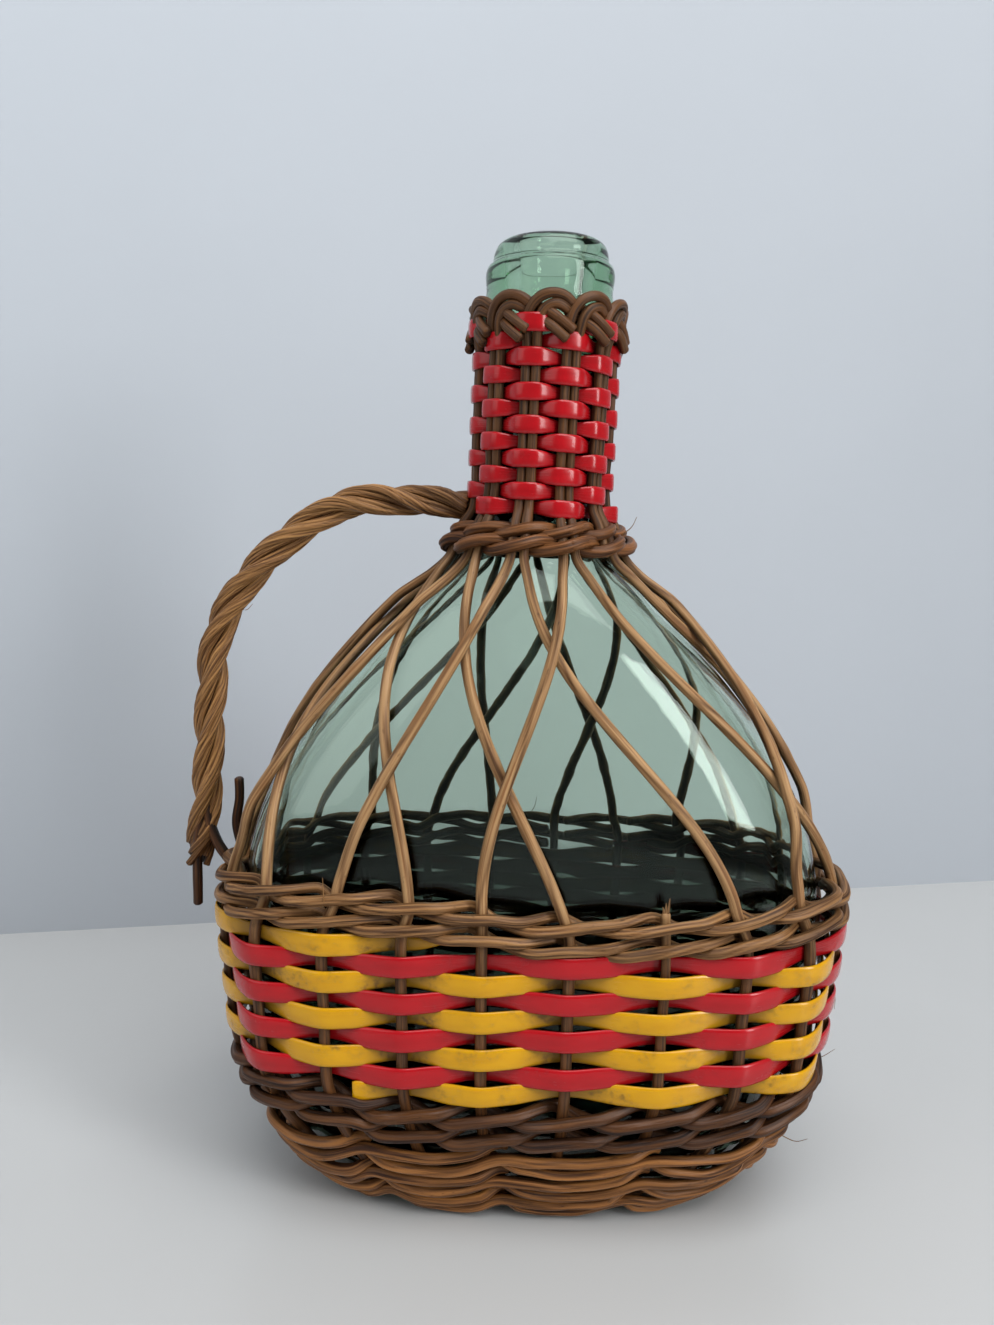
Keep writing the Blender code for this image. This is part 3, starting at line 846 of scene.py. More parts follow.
@dataclass(frozen=True)
class BottleGlass(Finish):
    """Pale green pressed glass, which deepens with the length of the way through it."""

    colour: Colour
    mouth: Colour
    shade_under_cover: Colour
    tint: Colour = (0.25, 0.60, 0.33)
    density: float = 46.0
    relief: Relief = Relief(0.45, 0.8 * MM)

    def write(self, nodes: Nodes) -> None:
        """Writes the glass into a new material."""
        colours = {"Colour": self.colour, "Mouth": self.mouth, "Shade Under Cover": self.shade_under_cover}
        body = place_group(nodes, "bottle_glass", write_bottle_glass, colours, {}, {"Place": nodes.place()})
        plain = {"Transmission Weight": 1.0, "IOR": 1.5, "Specular Tint": (0.45, 0.50, 0.47, 1.0)}
        self.dress(nodes, body, self.relief, plain)
        through_it = {"Color": (*self.tint, 1.0), "Density": self.density}
        nodes.feed(nodes.output, {"Volume": nodes.add("VolumeAbsorption", through_it).outputs[0]})


STAKE_WILLOW = Reed("stake_willow", "tan_rod", (0.50, 0.30, 0.138), (0.23, 0.105, 0.038))
HANDLE_WILLOW = Reed("handle_willow", "tan_rod", (0.50, 0.262, 0.094), (0.13, 0.052, 0.016))
WALE_WILLOW = Reed("wale_willow", "grey_rod", (0.43, 0.225, 0.086), (0.075, 0.030, 0.010))
COLLAR_WILLOW = Reed("collar_willow", "brown_rod", (0.28, 0.108, 0.033), (0.038, 0.013, 0.005))
FOOT_WILLOW = Reed("foot_willow", "brown_rod", (0.48, 0.20, 0.056), (0.07, 0.023, 0.007))
DARK_WILLOW = Reed("dark_willow", "dark_rod", (0.070, 0.026, 0.010), (0.014, 0.005, 0.003))
RED_PLASTIC = StripPlastic(
    name="red_strip_plastic",
    slot="red_plastic",
    colour=(0.46, 0.005, 0.010),
    deep=(0.30, 0.003, 0.006),
    soil_and_shade_tone=(0.10, 0.010, 0.008),
    soil_and_shade_amount=0.22,
)
YELLOW_PLASTIC = StripPlastic(
    name="yellow_strip_plastic",
    slot="yellow_plastic",
    colour=(0.68, 0.345, 0.002),
    deep=(0.56, 0.25, 0.001),
    soil_and_shade_tone=(0.20, 0.10, 0.015),
    soil_and_shade_amount=0.85,
)
GREEN_GLASS = BottleGlass(
    name="bottle_glass",
    slot="green_glass",
    colour=(0.89, 0.955, 0.89),
    mouth=(0.93, 0.97, 0.93),
    # Painted shade on the glass where the cover hides it.
    shade_under_cover=(0.10, 0.135, 0.11),
)


def settle(piece: bpy.types.Object, finish: Finish, *nodes: str) -> bpy.types.Object:
    """Gives a piece its finish and its place in the frame.

    Args:
        piece: The piece, already in the scene.
        finish: Its finish.
        *nodes: The nodes of the frame that it stands for.

    Returns:
        The piece.
    """
    piece.data.materials.append(finish.material())
    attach(piece, ROOT)
    if nodes:
        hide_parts(*nodes)
    log.info("%s: %d faces", piece.name, len(piece.data.polygons))
    return piece


def add_piece(mesh: bpy.types.Mesh, finish: Finish, *nodes: str) -> bpy.types.Object:
    """Puts a finished mesh into the scene as a piece of the object.

    Args:
        mesh: The mesh, in place.
        finish: Its finish.
        *nodes: The nodes of the frame that it stands for.

    Returns:
        The new object.
    """
    piece = bpy.data.objects.new(mesh.name, mesh)
    bpy.context.scene.collection.objects.link(piece)
    return settle(piece, finish, *nodes)


# Glass


Level = tuple[float, float, float, float]


def edit_all(piece: bpy.types.Object) -> None:
    """Enters edit mode on one piece, with all of it selected and nothing else."""
    bpy.ops.object.select_all(action="DESELECT")
    piece.select_set(True)
    bpy.context.view_layer.objects.active = piece
    bpy.ops.object.mode_set(mode="EDIT")
    bpy.ops.mesh.select_all(action="SELECT")


@dataclass
class Flask:
    """The glass: a flattened body and a round neck in one hollow piece, open at the mouth.

    Attributes:
        punt: Share of the section and rise in millimetres of the rings under the floor, from its middle.
        inner_floor: Share of the section and drop in millimetres of the rings inside the floor, inwards.
    """

    around: int = 176
    wall: float = 2.6 * MM
    floor_z: float = 6.0 * MM
    inner_floor_z: float = 11.0 * MM
    inner_heel: float = 4.0 * MM
    outer_top_z: float = 215.0 * MM
    inner_top_z: float = 209.0 * MM
    outer_rings: int = 116
    inner_rings: int = 90
    neck_radius: float = 17.4 * MM
    neck_bore: float = 14.4 * MM
    finish_low_z: float = 278.0 * MM
    finish_radius: float = 19.6 * MM
    finish_top_z: float = 292.6 * MM
    lip_radius: float = 17.9 * MM
    lip_z: float = 300.0 * MM
    bore: float = 9.25 * MM
    bore_low_z: float = 270.0 * MM
    merge_distance: float = 0.0001
    punt: tuple[tuple[float, float], ...] = ((0.0, 2.6), (0.3, 2.4), (0.6, 1.6), (0.85, 0.3), (0.96, 0.0))
    inner_floor: tuple[tuple[float, float], ...] = (
        (0.975, 2.2),
        (0.93, 3.4),
        (0.8, 3.9),
        (0.5, 3.0),
        (0.25, 2.4),
        (0.0, 2.2),
    )

    def body_levels(self) -> list[Level]:
        """Share of the section, height, stand-off and rise of each ring outside, from the floor up."""
        levels = [(part, self.floor_z, 0.0, rise * MM) for part, rise in self.punt]
        up = np.linspace(0.0, 1.0, self.outer_rings) ** 1.12
        heights = self.floor_z + (self.outer_top_z - self.floor_z) * up
        return levels + [(1.0, float(z), 0.0, 0.0) for z in heights]

    def inner_levels(self) -> list[Level]:
        """The same down the inner wall, to the middle of the floor."""
        low = self.inner_floor_z + self.inner_heel
        down = np.linspace(1.0, 0.0, self.inner_rings) ** 1.1
        heights = low + (self.inner_top_z - low) * down
        levels = [(1.0, float(z), -self.wall, 0.0) for z in heights]
        return levels + [(part, low, -self.wall, -drop * MM) for part, drop in self.inner_floor]

    def neck_profile(self) -> Array:
        """Radius and height up the neck, over the lip, and down the bore to the shoulder."""
        low, top, lip = self.finish_low_z / MM, self.finish_top_z / MM, self.lip_z / MM
        neck, band, edge = self.neck_radius / MM, self.finish_radius / MM, self.lip_radius / MM
        bore, inside, foot = self.bore / MM, self.neck_bore / MM, self.bore_low_z / MM
        outer = [
            (neck, 219.0),
            (neck, 240.0),
            (neck, low - 2.0),
            (neck + 0.5, low - 0.6),
            (band - 0.5, low),
            (band, low + 0.9),
            (band, (low + top) / 2),
            (band, top - 0.9),
            (band - 0.35, top - 0.2),
            (edge + 0.5, top + 0.3),
            (edge + 0.1, top + 1.2),
            (edge - 0.1, top + 2.6),
            (edge - 0.6, lip - 2.8),
            (edge - 1.6, lip - 1.2),
            (edge - 3.0, lip - 0.3),
            (edge - 4.6, lip),
            (bore + 2.6, lip - 0.5),
            (bore + 1.1, lip - 1.7),
            (bore + 0.35, lip - 4.0),
            (bore, lip - 9.0),
            (bore, foot + 4.0),
            (bore + 0.8, foot),
            (inside - 1.5, foot - 5.0),
            (inside, foot - 11.0),
            (inside, 240.0),
            (inside, 221.0),
        ]
        return through(np.array(outer), 0.8) * MM

    def spun(self, count: int) -> bpy.types.Object:
        """Spins a line of marked points once round.

        Args:
            count: How many points the line has.

        Returns:
            A closed skin whose vertices carry the number of their level.
        """
        rise = np.linspace(0.0, 1.0, count)
        line = np.stack([np.sin(math.pi * rise), np.zeros(count), rise], axis=-1)
        line[[0, -1], 0] = 0.0
        mesh = bpy.data.meshes.new("flask")
        mesh.from_pydata(line.tolist(), [(step, step + 1) for step in range(count - 1)], [])
        level = mesh.attributes.new("level", "FLOAT", "POINT")
        level.data.foreach_set("value", np.arange(count, dtype=np.float32))
        piece = bpy.data.objects.new("flask", mesh)
        bpy.context.scene.collection.objects.link(piece)
        edit_all(piece)
        bpy.ops.mesh.spin(steps=self.around, angle=TAU, center=(0.0, 0.0, 0.0), axis=(0.0, 0.0, 1.0))
        bpy.ops.mesh.select_all(action="SELECT")
        bpy.ops.mesh.remove_doubles(threshold=self.merge_distance)
        bpy.ops.object.mode_set(mode="OBJECT")
        return piece

    def dress(self) -> None:
        """Spins the skin, lays every level on the flask's own section, and puts it into the scene."""
        outside, inside, neck = self.body_levels(), self.inner_levels(), self.neck_profile()
        count = len(outside) + len(neck) + len(inside)
        piece = self.spun(count)
        mesh = piece.data
        spots = np.empty(len(mesh.vertices) * 3)
        mesh.vertices.foreach_get("co", spots)
        spots = spots.reshape(-1, 3)
        level = np.empty(len(spots), dtype=np.float32)
        mesh.attributes["level"].data.foreach_get("value", level)
        level = np.rint(level).astype(int)
        share = np.arctan2(spots[:, 0], -spots[:, 1]) / TAU
        above = len(outside) + len(neck)
        rows = np.zeros((count, 4))
        rows[: len(outside)] = outside
        rows[above:] = inside
        rows[len(outside) : above, :2] = neck
        part, z, lift, rise = rows[level].T
        body = GLASS.at(share, z, lift) * np.stack([part, part, np.ones(len(part))], axis=-1)
        body[:, 2] += rise
        round_part = (level >= len(outside)) & (level < above)
        placed = np.where(round_part[:, None], on_neck(share, part, z), body)
        mesh.vertices.foreach_set("co", placed.ravel())
        mesh.update()
        edit_all(piece)
        bpy.ops.mesh.normals_make_consistent(inside=False)
        bpy.ops.object.mode_set(mode="OBJECT")
        bpy.ops.object.shade_smooth()
        settle(piece, GREEN_GLASS, "glass_bottle")


# Rods of the cover


@dataclass
class Chance:
    """Seeded unevenness, so that every run gives the same cover."""

    KNOT_SPACING = 55 * MM
    KNOT_LENGTH = 2.4 * MM
    KNOT_SWELL = (0.03, 0.09)
    WAVE_ORDERS = (1.0, 1.9, 3.3)

    seed: int

    def __post_init__(self) -> None:
        """Starts the draw."""
        self.draw = np.random.default_rng(self.seed)

    def pick(self, low: float, high: float) -> float:
        """A number between two others."""
        return float(self.draw.uniform(low, high))

    def drift(self) -> float:
        """A place along the grain to start from."""
        return self.pick(0.0, 40.0)

    def wander(self, count: int, size: float, waves: float) -> Array:
        """A slow wave of this size along a strand."""
        at = np.linspace(0.0, 1.0, count)
        total = np.zeros(count)
        for order in self.WAVE_ORDERS:
            total += np.sin(TAU * (at * waves * order + self.draw.uniform())) / order
        return size * total / 2

    def knots(self, length: float, count: int) -> Array:
        """Swelling along a rod, as a share of its radius."""
        at = np.linspace(0.0, length, count)
        swell = np.zeros(count)
        for _ in range(max(1, round(length / self.KNOT_SPACING))):
            middle = self.draw.uniform(0.0, length)
            swell += self.draw.uniform(*self.KNOT_SWELL) * np.exp(-(((at - middle) / self.KNOT_LENGTH) ** 2))
        return swell


@dataclass(frozen=True)
class Cut:
    """How finely a rod is made, and the grooves between the split reeds that it is bundled from.

    Attributes:
        spacing: The distance between rings.
        sides: Points on a ring.
        flutes: How many reeds it is bundled from.
        groove: How deep the grooves between them are, as a share of the radius.
        nestled: How far round its sides it lies in its neighbours' shade.
    """

    spacing: float = 1.4 * MM
    sides: int = 14
    flutes: int = 0
    groove: float = 0.0
    nestled: float = 0.0


# The lengths over which a rod's thickness, its grooves' turn and its grooves' depth change.
THICKNESS_WAVE = 60 * MM
GROOVE_TURN_WAVE = 110 * MM
GROOVE_DEPTH_WAVE = 45 * MM


def make_rod(
    points: Array,
    radius: float | Sequence[float],
    chance: Chance,
    ageing: Callable[[Array], Array] | float = 0.3,
    cut: Cut = Cut(),
    roll: Array | None = None,
) -> Strand:
    """A willow rod along points, with its taper, its knots and a slight wander.

    Args:
        points: What its middle passes.
        radius: Its radius, or the radii at even steps along it.
        chance: Where its unevenness comes from.
        ageing: How aged it is, or a function of the points along it.
        cut: How finely it is made, and its grooves.
        roll: Directions to face at each point, where that isn't away from the flask.

    Returns:
        The rod.
    """
    route = through(points, cut.spacing)
    count = len(route)
    radii = np.atleast_1d(np.asarray(radius, float))
    size = np.interp(np.linspace(0, 1, count), np.linspace(0, 1, len(radii)), radii)
    length = float(np.linalg.norm(np.diff(route, axis=0), axis=1).sum())
    size = size * (1 + chance.knots(length, count) + chance.wander(count, 0.03, length / THICKNESS_WAVE))
    outward = away_from_flask(route) if roll is None else roll
    worn = ageing(route) if callable(ageing) else np.full(count, ageing)
    creases = None
    if cut.flutes:
        creases = grooves(chance.wander(count, 1.6, length / GROOVE_TURN_WAVE), cut.sides, cut.flutes)
        deep = 0.75 + chance.wander(count, 0.5, length / GROOVE_DEPTH_WAVE)
        creases = creases * np.clip(deep, 0.1, 1.0)[:, None]
    sections = round_section(size, cut.sides, creases, cut.groove)
    return Strand(route, outward, sections, worn, chance.drift(), creases, cut.nestled)


@dataclass
class Stakes:
    """The uprights: up the body, across the shoulder as the lattice, up the neck and over as the border.

    Even stakes climb to the right and pass outside the odd ones, which climb to the left.

    Attributes:
        body_levels: Height and depth inside the basket's face, in millimetres, up to the upper band.
        neck_levels: Height and distance from the neck's middle, in millimetres.
        even_arch: Neck pairs round, height and distance from the neck's middle of an even stake's arch;
            the first two places are counted from its own rod, and the others from its pair's middle.
        odd_arch: The same for an odd stake's arch, which passes under the even ones.
        bridge_start: Where on the shoulder an even rod lifts over the odd ones, and over what share.
        bridge_end: Where it comes down again.
        girth: The way round the glass over which a sway is taken.
    """

    body_radius: float = 1.7 * MM
    neck_radius: float = 1.45 * MM
    lattice_low_z: float = 99.5 * MM
    lattice_high_z: float = 204.0 * MM
    lattice_depth: float = 4.5 * MM
    lattice_bow: float = 1.56
    lattice_points_each: int = 22
    settling: float = 0.5
    glass_lay: float = 0.35 * MM
    wale_lift: float = 5.4 * MM
    bridge_lift: float = 3.2 * MM
    bridge_start: tuple[float, float] = (0.12, 0.16)
    bridge_end: tuple[float, float] = (0.82, 0.13)
    collar_lift: float = 1.2 * MM
    girth: float = 0.44
    neck_stand: float = 20.9 * MM
    pair_gap: float = 0.03 * MM
    cut: Cut = Cut(spacing=1.0 * MM, sides=16, flutes=3, groove=0.06, nestled=0.18)
    neck_end_cut: Cut = Cut(spacing=1.0 * MM, sides=16, flutes=3, groove=0.05)
    sliver_cut: Cut = Cut(spacing=0.6 * MM, sides=7)
    body_levels: tuple[tuple[float, float], ...] = (
        (17.0, 5.6),
        (22.0, 5.3),
        (27.5, 4.7),
        (33.0, 4.2),
        (39.0, 4.3),
        (44.0, 3.8),
        (49.0, 2.8),
        (58.0, 2.6),
        (70.0, 2.6),
        (83.0, 2.7),
        (91.0, 3.1),
        (95.5, 3.9),
    )
    neck_levels: tuple[tuple[float, float], ...] = (
        (205.0, 27.5),
        (209.0, 26.2),
        (214.0, 24.3),
        (218.5, 21.7),
        (223.0, 20.9),
        (240.0, 20.9),
        (258.0, 20.9),
    )
    even_arch: tuple[Triple, ...] = (
        (0.0, 267.5, 21.0),
        (-0.01, 271.6, 22.0),
        (-0.05, 276.0, 22.8),
        (0.14, 279.0, 23.3),
        (0.44, 280.4, 23.6),
        (0.72, 279.7, 23.3),
        (0.93, 277.9, 22.2),
        (1.06, 277.3, 20.5),
        (1.20, 276.8, 20.9),
        (1.36, 275.7, 22.5),
        (1.62, 273.2, 23.6),
        (1.92, 270.2, 24.2),
    )
    odd_arch: tuple[Triple, ...] = (
        (0.0, 266.0, 21.0),
        (0.02, 270.2, 22.1),
        (0.20, 274.2, 22.9),
        (0.36, 276.8, 23.2),
        (0.56, 277.5, 23.2),
        (0.76, 276.5, 22.4),
        (0.93, 275.1, 20.7),
        (1.06, 274.4, 20.2),
        (1.22, 273.4, 21.5),
        (1.44, 271.3, 23.4),
        (1.78, 267.6, 24.2),
    )
    rng: Chance = field(default_factory=lambda: Chance(7))

    @staticmethod
    def side(index: int) -> int:
        """The side it climbs to: 1 for the right, which even stakes do, and -1 for the left."""
        return 1 if index % 2 == 0 else -1

    def spread(self) -> float:
        """Share of the way round from the middle of a neck pair to either of its rods."""
        return (self.neck_radius + self.pair_gap) / (TAU * self.neck_stand)

    def neck_share(self, index: int) -> float:
        """Where a stake stands on the neck."""
        side = self.side(index)
        even = FIRST_STAKE_SHARE + (index + NECK_TWIST + side * LANDING) / STAKES
        return even - side * self.spread()

    def body_points(self, index: int) -> Array:
        """From behind the foot up to the top of the upper band."""
        z, depth = np.array(self.body_levels).T * MM
        return BASKET.at(float(stake_share(index)), z, -depth)

    def lattice_points(self, index: int) -> Array:
        """Over the shoulder, lying on the glass or bridging the rods that cross under it."""
        rise = np.linspace(0.045, 0.93, self.lattice_points_each)
        bowed = rise**self.lattice_bow
        foot, end = float(stake_share(index)), self.neck_share(index)
        start = GLASS.nearest_share(BASKET.at(foot, self.lattice_low_z, -self.lattice_depth)[0])
        start += round(end - start)
        start = foot + self.settling * (start - foot)
        low, high = LATTICE_SWAYS.get(index, (0.0, 0.0))
        sway = low * np.sin(math.pi * rise**0.8) + high * np.sin(math.pi * rise**2.2)
        share = start * (1 - bowed) + end * bowed + sway * MM / self.girth
        lay = self.glass_lay + self.body_radius * (1 - 0.15 * rise)
        lift = lay + (self.wale_lift - lay) * np.clip(1 - rise / 0.34, 0.0, 1.0) ** 1.3
        if self.side(index) > 0:
            bridge = self.bridge_lift * ramp(rise, *self.bridge_start)
            lift = lift + bridge * (1 - ramp(rise, *self.bridge_end))
        lift += self.collar_lift * ramp(rise, 0.8, 0.2)
        return GLASS.at(share, self.lattice_low_z + (self.lattice_high_z - self.lattice_low_z) * rise, lift)

    def neck_points(self, index: int) -> Array:
        """Through the two collars and up the neck."""
        z, radius = np.array(self.neck_levels).T * MM
        return on_neck(self.neck_share(index), radius, z)

    def border_points(self, index: int) -> Array:
        """One arch of the border: over to the right, behind the next pair and out again below."""
        side = self.side(index)
        around, z, radius = np.array(self.even_arch if side > 0 else self.odd_arch).T
        around[:2] -= side * self.spread() * PAIRS
        middle = self.neck_share(index) + side * self.spread()
        return on_neck(middle + around / PAIRS, radius * MM, z * MM)

    @staticmethod
    def ageing(route: Array) -> Array:
        """Dark at the foot and on the neck, clean on the shoulder."""
        z = route[:, 2]
        low = 1 - ramp(z, 86 * MM, 22 * MM)
        high = ramp(z, 190 * MM, 28 * MM)
        return np.clip(0.06 + 0.90 * low + 0.90 * high, 0, 1)

    def radii(self) -> tuple[float, ...]:
        """The rod's taper from butt to tip."""
        body, tip = self.body_radius, self.neck_radius
        return (body, body, body, body, body, body * 0.98, body * 0.93, tip, tip, tip * 1.04, tip * 1.06)

    def build(self) -> None:
        """Makes every stake, one of them snapped off over the upper band."""
        for index in range(-STAKES // 2 + 1, STAKES // 2 + 1):
            number = f"{index + STAKES // 2:02d}"
            body = self.body_points(index)
            crown = np.vstack([self.neck_points(index), self.border_points(index)])
            if index == BROKEN_STAKE:
                self.snapped(number, body, crown)
                continue
            points = np.vstack([body, self.lattice_points(index), crown])
            rod = make_rod(points, self.radii(), self.rng, self.ageing, self.cut)
            add_piece(mesh_of(f"willow_stake_{number}", [rod]), STAKE_WILLOW, f"stake_{number}")

    def snapped(self, number: str, body: Array, crown: Array) -> None:
        """The snapped stake: a stump with a split top, and the end that is left in the collar."""
        top = BASKET.at(float(stake_share(BROKEN_STAKE)), np.array([103.6, 104.8]) * MM, -4.4 * MM)
        taper = (self.body_radius, 1.6 * MM, 1.3 * MM)
        splits = [make_rod(np.vstack([body, top]), taper, self.rng, self.ageing)]
        for lean, height in ((0.9, 4.8), (-0.1, 3.4), (-1.0, 2.2)):
            tip = top[-1] + np.array([lean * MM, -0.6 * MM, height * MM])
            root = top[-1] + np.array([lean * 0.4 * MM, -0.3 * MM, 0.0])
            taper = (0.6 * MM, 0.42 * MM, 0.12 * MM)
            splits.append(make_rod(np.vstack([top[-2], root, tip]), taper, self.rng, 0.5, self.sliver_cut))
        add_piece(mesh_of("willow_stake_stump", splits), STAKE_WILLOW, f"stake_{number}_stump")
        end = make_rod(crown, self.neck_radius, self.rng, self.ageing, self.neck_end_cut)
        add_piece(mesh_of("willow_stake_neck_end", [end]), STAKE_WILLOW, f"stake_{number}_neck_end")


def taut(near: Array, flat: float, run: float, blur: int) -> Array:
    """How far out a tight strip stands: straight facets with a rounded crease at either end.

    Args:
        near: Distance from the middle of where it passes outside.
        flat: The distance over which it stays right out.
        run: The distance over which it comes in.
        blur: Samples over which its creases are rounded.

    Returns:
        1 where it is right out, 0 where it is right in.
    """
    facets = np.clip(1 - (near - flat) / run, 0.0, 1.0)
    padded = np.pad(facets, blur, mode="edge")
    window = np.hanning(2 * blur + 3)[1:-1]
    return np.convolve(padded, window / window.sum(), mode="valid")


@dataclass
class BodyStrips:
    """The yellow and red strips woven round the body, climbing two rows a turn.

    Attributes:
        tuck: How many stakes before its end a strip starts to dive behind the band, and over how many.
    """

    pitch: float = 5.58 * MM
    first_z: float = 49.5 * MM
    rows_a_turn: int = 2
    thickness: float = 0.9 * MM
    crown: float = 0.22 * MM
    front_depth: float = 0.45 * MM
    behind_depth: float = 4.9 * MM
    front_half: float = 3.3 * MM
    behind_half: float = 2.25 * MM
    tuck: tuple[float, float] = (-0.72, 0.6)
    tuck_rise: float = 1.1 * MM
    tuck_taper: float = 0.82
    end_size: float = 0.93
    steps: int = 20
    rng: Chance = field(default_factory=lambda: Chance(21))

    def strip(self, start: float, end: float, row: int, front_on_even: bool) -> Strand:
        """One strip.

        Args:
            start: Where it starts, in stakes from the front.
            end: Where it ends.
            row: Which row it is, counted up from the lowest.
            front_on_even: Whether it passes outside the even stakes.

        Returns:
            The strip.
        """
        count = round((end - start) * self.steps) + 1
        along = np.linspace(start, end, count)
        near = np.abs((along + (0.0 if front_on_even else 1.0) + 1) % 2 - 1)
        out = taut(near, 0.04, 0.88, 3)
        depth = self.behind_depth + (self.front_depth - self.behind_depth) * out
        z = self.first_z + (row + self.rows_a_turn * along / STAKES) * self.pitch
        z = z + self.rng.wander(count, 0.3 * MM, (end - start) / 7)
        tucked = ramp(along - end, *self.tuck)
        z = z + self.tuck_rise * tucked
        depth = depth + (self.behind_depth - depth) * tucked
        spread = taut(near, 0.42, 0.4, 2)
        half = self.behind_half + (self.front_half - self.behind_half) * spread
        half = half * (1 + self.rng.wander(count, 0.045, (end - start) / 3)) * (1 - self.tuck_taper * tucked)
        share = stake_share(along)
        route = BASKET.at(share, z, -depth)
        normal = unit(BASKET.read(BASKET.normals, share, z))
        sections = strip_section(half, self.thickness, self.crown * spread)
        # Its ageing is painted shade where it narrows to pass behind a stake.
        return Strand(route, normal, sections, 1 - spread, self.rng.drift(), end_size=self.end_size)

    def build(self) -> None:
        """Makes both strips."""
        yellow = self.strip(-1.62, 87.75, 0, True)
        red = self.strip(-12.0, 76.4, 1, False)
        add_piece(mesh_of("yellow_band", [yellow]), YELLOW_PLASTIC, "yellow_strip")
        add_piece(mesh_of("red_band", [red]), RED_PLASTIC, "red_strip")


@dataclass
class NeckStrip:
    """The red strip round the neck, climbing to the left, over one pair and behind the next.

    Attributes:
        border_flare: How much further out it stands under the border.
        collar_flare: How much further out it stands over the collars.
    """

    pitch: float = 4.85 * MM
    first_z: float = 223.9 * MM
    first_share: float = -0.86 / STAKES
    start: float = -19.0
    end: float = 113.0
    thickness: float = 0.9 * MM
    crown: float = 0.1 * MM
    front_radius: float = 22.75 * MM
    behind_radius: float = 18.75 * MM
    border_flare: float = 1.5 * MM
    collar_flare: float = 3.0 * MM
    front_half: float = 2.7 * MM
    behind_half: float = 1.75 * MM
    steps: int = 16
    rng: Chance = field(default_factory=lambda: Chance(33))

    def build(self) -> None:
        """Makes the strip."""
        length = self.end - self.start
        count = round(length * self.steps) + 1
        along = np.linspace(self.start, self.end, count)
        near = np.abs((along + 1) % 2 - 1)
        out = taut(near, 0.22, 0.6, 1)
        z = self.first_z + self.pitch * along / PAIRS
        flare = self.border_flare * ramp(z, 268 * MM, 5 * MM)
        flare = flare + self.collar_flare * (1 - ramp(z, 214 * MM, 9 * MM))
        radius = self.behind_radius + (self.front_radius + flare - self.behind_radius) * out
        half = self.behind_half + (self.front_half - self.behind_half) * taut(near, 0.24, 0.5, 1)
        half = half * (1 + self.rng.wander(count, 0.04, length / 3))
        edge = np.minimum(along - self.start, self.end - along)
        half = half * (0.4 + 0.6 * ease(edge / 0.6))
        z = z + self.rng.wander(count, 0.25 * MM, length / 9)
        route = on_neck(self.first_share - along / PAIRS, radius, z)
        outward = unit(route * np.array([1.0, 1.0, 0.0]))
        sections = strip_section(half, self.thickness, self.crown * out)
        # Its ageing is painted shade where it passes behind a pair.
        strand = Strand(route, outward, sections, 1 - out, self.rng.drift())
        add_piece(mesh_of("neck_band", [strand]), RED_PLASTIC, "neck_strip")


@dataclass
class Twining:
    """Two level rounds of pairing: every rod passes over one stake and behind the next.

    Attributes:
        rows: A stake, and the heights of the upper and the lower round there, in millimetres.
    """

    # Stakes between the points of a rod, where it turns behind a stake, and how long it stays there.
    STEP = 0.06
    TURN = 0.82
    BACK = 0.36

    name: str
    node: str
    finish: Finish
    rows: tuple[Triple, ...]
    radius: float
    front_depth: float
    behind_depth: float
    swing: float
    ageing: float
    seed: int
    cut: Cut = Cut(sides=24, flutes=6, groove=0.26, nestled=0.3)

    def level(self, along: Array, order: int) -> Array:
        """The height of a round along the stakes."""
        smooth = through(self.rows, 0.1)
        return np.interp((along + PAIRS) % STAKES - PAIRS, smooth[:, 0], smooth[:, 1 + order]) * MM

    def strand(self, order: int, parity: int, chance: Chance) -> Strand:
        """One of the two rods of a round.

        Args:
            order: Which round, 0 for the upper one.
            parity: Which rod of the round, 0 or 1.
            chance: Where its unevenness comes from.

        Returns:
            The rod.
        """
        along = np.arange(parity - PAIRS - 0.88, parity + PAIRS - 1.12, self.STEP)
        phase = (along - parity + PAIRS + 1) % 2 - 1
        near = np.abs(phase)
        out = ease((0.97 - near) / 0.62)
        over = np.sin(math.pi / 2 * phase / self.TURN)
        back = np.sign(phase) * np.cos(math.pi * (near - self.TURN) / self.BACK)
        rise = self.swing * np.where(near < self.TURN, over, back)
        depth = self.behind_depth + (self.front_depth - self.behind_depth) * out
        depth = depth + chance.wander(len(along), 0.3 * MM, 9)
        z = self.level(along, order) + rise + chance.wander(len(along), 0.45 * MM, 10)
        points = BASKET.at(stake_share(along), z, -depth)
        size = self.radius * (1 + chance.wander(24, 0.09, 5))
        worn = self.ageing + chance.pick(0.0, 0.25)
        return make_rod(points, size, chance, worn, self.cut)

    def build(self) -> None:
        """Makes the four rods; the frame has nodes for the first three."""
        chance = Chance(self.seed)
        for number, (order, parity) in enumerate(((0, 0), (0, 1), (1, 0), (1, 1)), start=1):
            mesh = mesh_of(f"{self.name}_{number}", [self.strand(order, parity, chance)])
            nodes = [f"{self.node}_{number}"] if number <= 3 else []
            add_piece(mesh, self.finish, *nodes)


